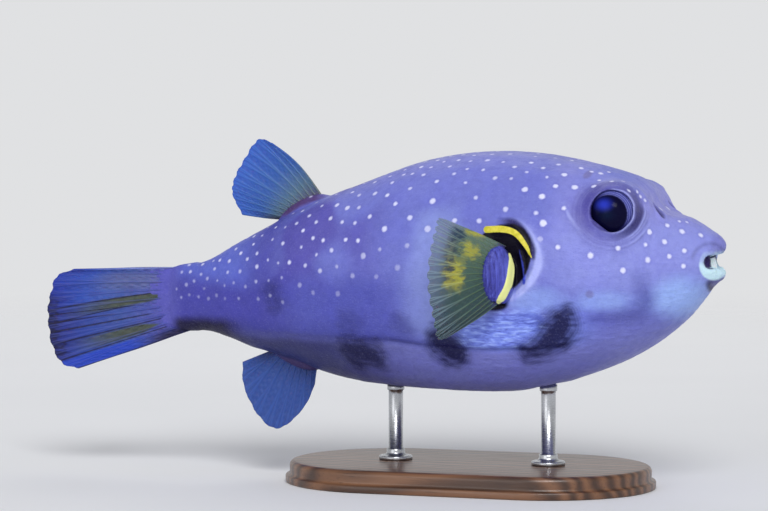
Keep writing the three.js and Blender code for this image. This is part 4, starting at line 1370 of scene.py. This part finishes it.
def stand_plinth():
    """The oval base with a moulded edge: a foot, a cove and a rounded top. Its profile is [inset, height]."""
    low, high = corners("stand_base")
    radius = (high[1] - low[1]) / 2
    reach = (high[0] - low[0]) / 2 - radius
    tall = high[2]
    profile = [(1.0, 0.0), (0.25, 0.15), (0.0, 0.7), (0.0, 2.6), (0.2, 3.0), (0.9, 3.2)]
    profile += arc(0.9, 3.2, 0.9, 1.3, 7, hollow=True)[1:] + arc(1.7, tall - 2.2, 2.2, 2.2, 7)
    profile += [(radius * share, tall) for share in (0.2, 0.5, 0.8)]
    rings = [np.column_stack([stadium(reach, radius - inset, PLINTH_SEGMENTS) + middle("stand_base")[:2],
                              np.full(PLINTH_SEGMENTS, height)]) for inset, height in profile]
    quads = ring_quads(len(rings), PLINTH_SEGMENTS)
    underside = np.arange(PLINTH_SEGMENTS)[None, :]
    top = underside + (len(rings) - 1) * PLINTH_SEGMENTS
    made = new_mesh("plinth", *outward(np.vstack(rings), quads, underside[:, ::-1], top))
    hand_over(made, "stand_wood", wood_material(), "stand_base")


def wood_material():
    s = Shader("walnut")
    warp = s.node("ShaderNodeCombineXYZ", {"Y": s.times(s.noise(s.places(0.3, 1.0, 1.0), 28.0, 2.0), 22.0)})
    bent = s.vector_math("ADD", s.places(0.12, 1.0, 1.0), warp.outputs[0])
    rings = s.node("ShaderNodeTexWave", {"Vector": bent, "Scale": 0.055, "Distortion": 2.4, "Detail": 3.0},
                   bands_direction="Y").outputs["Fac"]
    pores = s.noise(s.places(0.05, 1.6, 1.6), 1.1, 4.0, 0.7)
    s.colour = s.ramp(rings, (0.0, srgb(66, 42, 28)), (0.45, srgb(92, 60, 40)), (1.0, srgb(120, 82, 56)))
    s.lay(srgb(44, 27, 18), s.fit(pores, 0.52, 0.72, 0.0, 0.6))
    s.set(Coat_Weight=0.3, Coat_Roughness=0.22)
    return s.finished(Normal=s.bump(pores, 0.12, 0.6), Roughness=s.fit(pores, 0.3, 0.7, 0.32, 0.46))


def steel_material():
    s = Shader("brushed steel")
    brushed = s.noise(s.places(1.0, 1.0, 14.0), 2.0, 4.0, 0.7)
    s.colour = s.mix(s.fit(s.noise(s.places(), 9.0), 0.3, 0.7), srgb(176, 178, 182), srgb(198, 200, 204))
    s.set(Metallic=1.0, Normal=s.bump(brushed, 0.03, 0.6))
    return s.finished(Roughness=s.fit(brushed, 0.3, 0.7, 0.22, 0.36))


ROD_RADIUS = 3.0
ROD_SEGMENTS = 48


def stand_rod(name, node, look):
    """A rod with a flanged foot and a collar where it goes into the fish."""
    low, high = corners(node)
    foot, bottom, top = (high[0] - low[0]) / 2, low[2], high[2]
    profile = [(0.0, bottom), (foot - 0.3, bottom), (foot, bottom + 0.3)]
    profile += arc(foot, bottom + 1.1, -0.7, 0.7, 6)
    profile += arc(ROD_RADIUS + 2.2, bottom + 2.0, -1.4, 1.4, 6, hollow=True)
    profile += [(ROD_RADIUS + out, bottom + up) for out, up in ((0.8, 4.4), (0.55, 4.7), (0.0, 4.8))]
    profile += [(ROD_RADIUS + out, top - down) for out, down in (
        (0.0, 9.2), (0.0, 7.6), (0.5, 7.4), (0.6, 7.1), (0.6, 4.8), (0.0, 4.6), (0.0, 0.8), (-0.8, 0.0))]
    profile += [(0.0, top)]
    forward = np.array([1.0, 0.0, 0.0])
    points, *faces = lathe(np.array(profile), ROD_SEGMENTS, UP, forward, middle(node) * (1, 1, 0))
    hand_over(new_mesh(name, points, *faces), "stand_steel", look, node)


stand_plinth()
steel_look = steel_material()
stand_rod("rod_front", "stand_rod_front", steel_look)
stand_rod("rod_back", "stand_rod_back", steel_look)


# ---------------- camera, light and floor

VIEW_AZIMUTH = math.radians(19)
VIEW_ELEVATION = math.radians(2.5)
VIEW_DISTANCE = 1.2
VIEW_TARGET = Vector((0.00477, 0.0, cad_box[1][2] * 0.657))
VIEW_LENS = 134.97
FLOOR_RADIUS = 2500


def looking(name, data, place):
    """Puts a camera or light at a place, turned to the middle of the view."""
    made = bpy.data.objects.new(name, data)
    made.location = place
    made.rotation_euler = (VIEW_TARGET - Vector(place)).to_track_quat("-Z", "Y").to_euler()
    bpy.context.scene.collection.objects.link(made)
    return made


def make_camera():
    level = math.cos(VIEW_ELEVATION)
    back = Vector((math.sin(VIEW_AZIMUTH) * level, -math.cos(VIEW_AZIMUTH) * level,
                   math.sin(VIEW_ELEVATION)))
    data = bpy.data.cameras.new("camera")
    data.lens = VIEW_LENS
    data.sensor_width = 36
    data.clip_end = 50
    bpy.context.scene.camera = looking("camera", data, VIEW_TARGET + back * VIEW_DISTANCE)


def make_light(name, kind, place, power, **settings):
    data = bpy.data.lights.new(name, kind)
    data.energy = power
    for key, value in settings.items():
        setattr(data, key, value)
    looking(name, data, place)


def make_floor():
    """A pale disc that fades into the backdrop of the same paleness towards its edge."""
    count = 96
    angles = np.linspace(0, 2 * np.pi, count, endpoint=False)
    points = np.stack([np.cos(angles), np.sin(angles), np.zeros(count)], axis=1) * FLOOR_RADIUS
    floor = new_mesh("floor", points, np.arange(count)[None, :])
    s = Shader("floor")
    places = s.places()
    s.colour = s.mix(s.fit(s.noise(places, 240, 2.0), 0.3, 0.7), srgb(238, 239, 242), srgb(240, 241, 244))
    middle_distance = s.vector_math("LENGTH", places, output="Value")
    floor.data.materials.append(
        s.finished(Roughness=0.9, Alpha=s.fit(middle_distance, 1500, 400), Specular_IOR_Level=0.1))


def make_world():
    """A studio that is pale at the level of the floor's far edge and dimmer overhead."""
    world = bpy.data.worlds.new("studio")
    world.use_nodes = True
    tree = world.node_tree
    background = tree.nodes["Background"]
    direction = tree.nodes.new("ShaderNodeTexCoord")
    parts = tree.nodes.new("ShaderNodeSeparateXYZ")
    fade = tree.nodes.new("ShaderNodeMapRange")
    tree.links.new(direction.outputs["Generated"], parts.inputs[0])
    tree.links.new(parts.outputs["Z"], fade.inputs["Value"])
    for key, value in (("From Min", 0.12), ("From Max", 0.7), ("To Min", 0.78), ("To Max", 0.3)):
        fade.inputs[key].default_value = value
    tree.links.new(fade.outputs["Result"], background.inputs["Strength"])
    background.inputs["Color"].default_value = (*srgb(250, 251, 253), 1.0)
    bpy.context.scene.world = world


make_camera()
make_light("sun", "SUN", (0.55, -1.3, 1.25), 1.5, angle=math.radians(28))
for light_name, light_place, light_size, light_power in (
        ("softbox", (0.4, -0.9, 0.75), 0.4, 1.0), ("fill", (-1.1, -2.64, 0.7), 2.0, 12),
        ("back", (-0.3, 0.9, 1.0), 0.8, 2)):
    make_light(light_name, "AREA", light_place, light_power, shape="DISK", size=light_size)
make_floor()
make_world()
bpy.context.scene.view_settings.view_transform = "Standard"
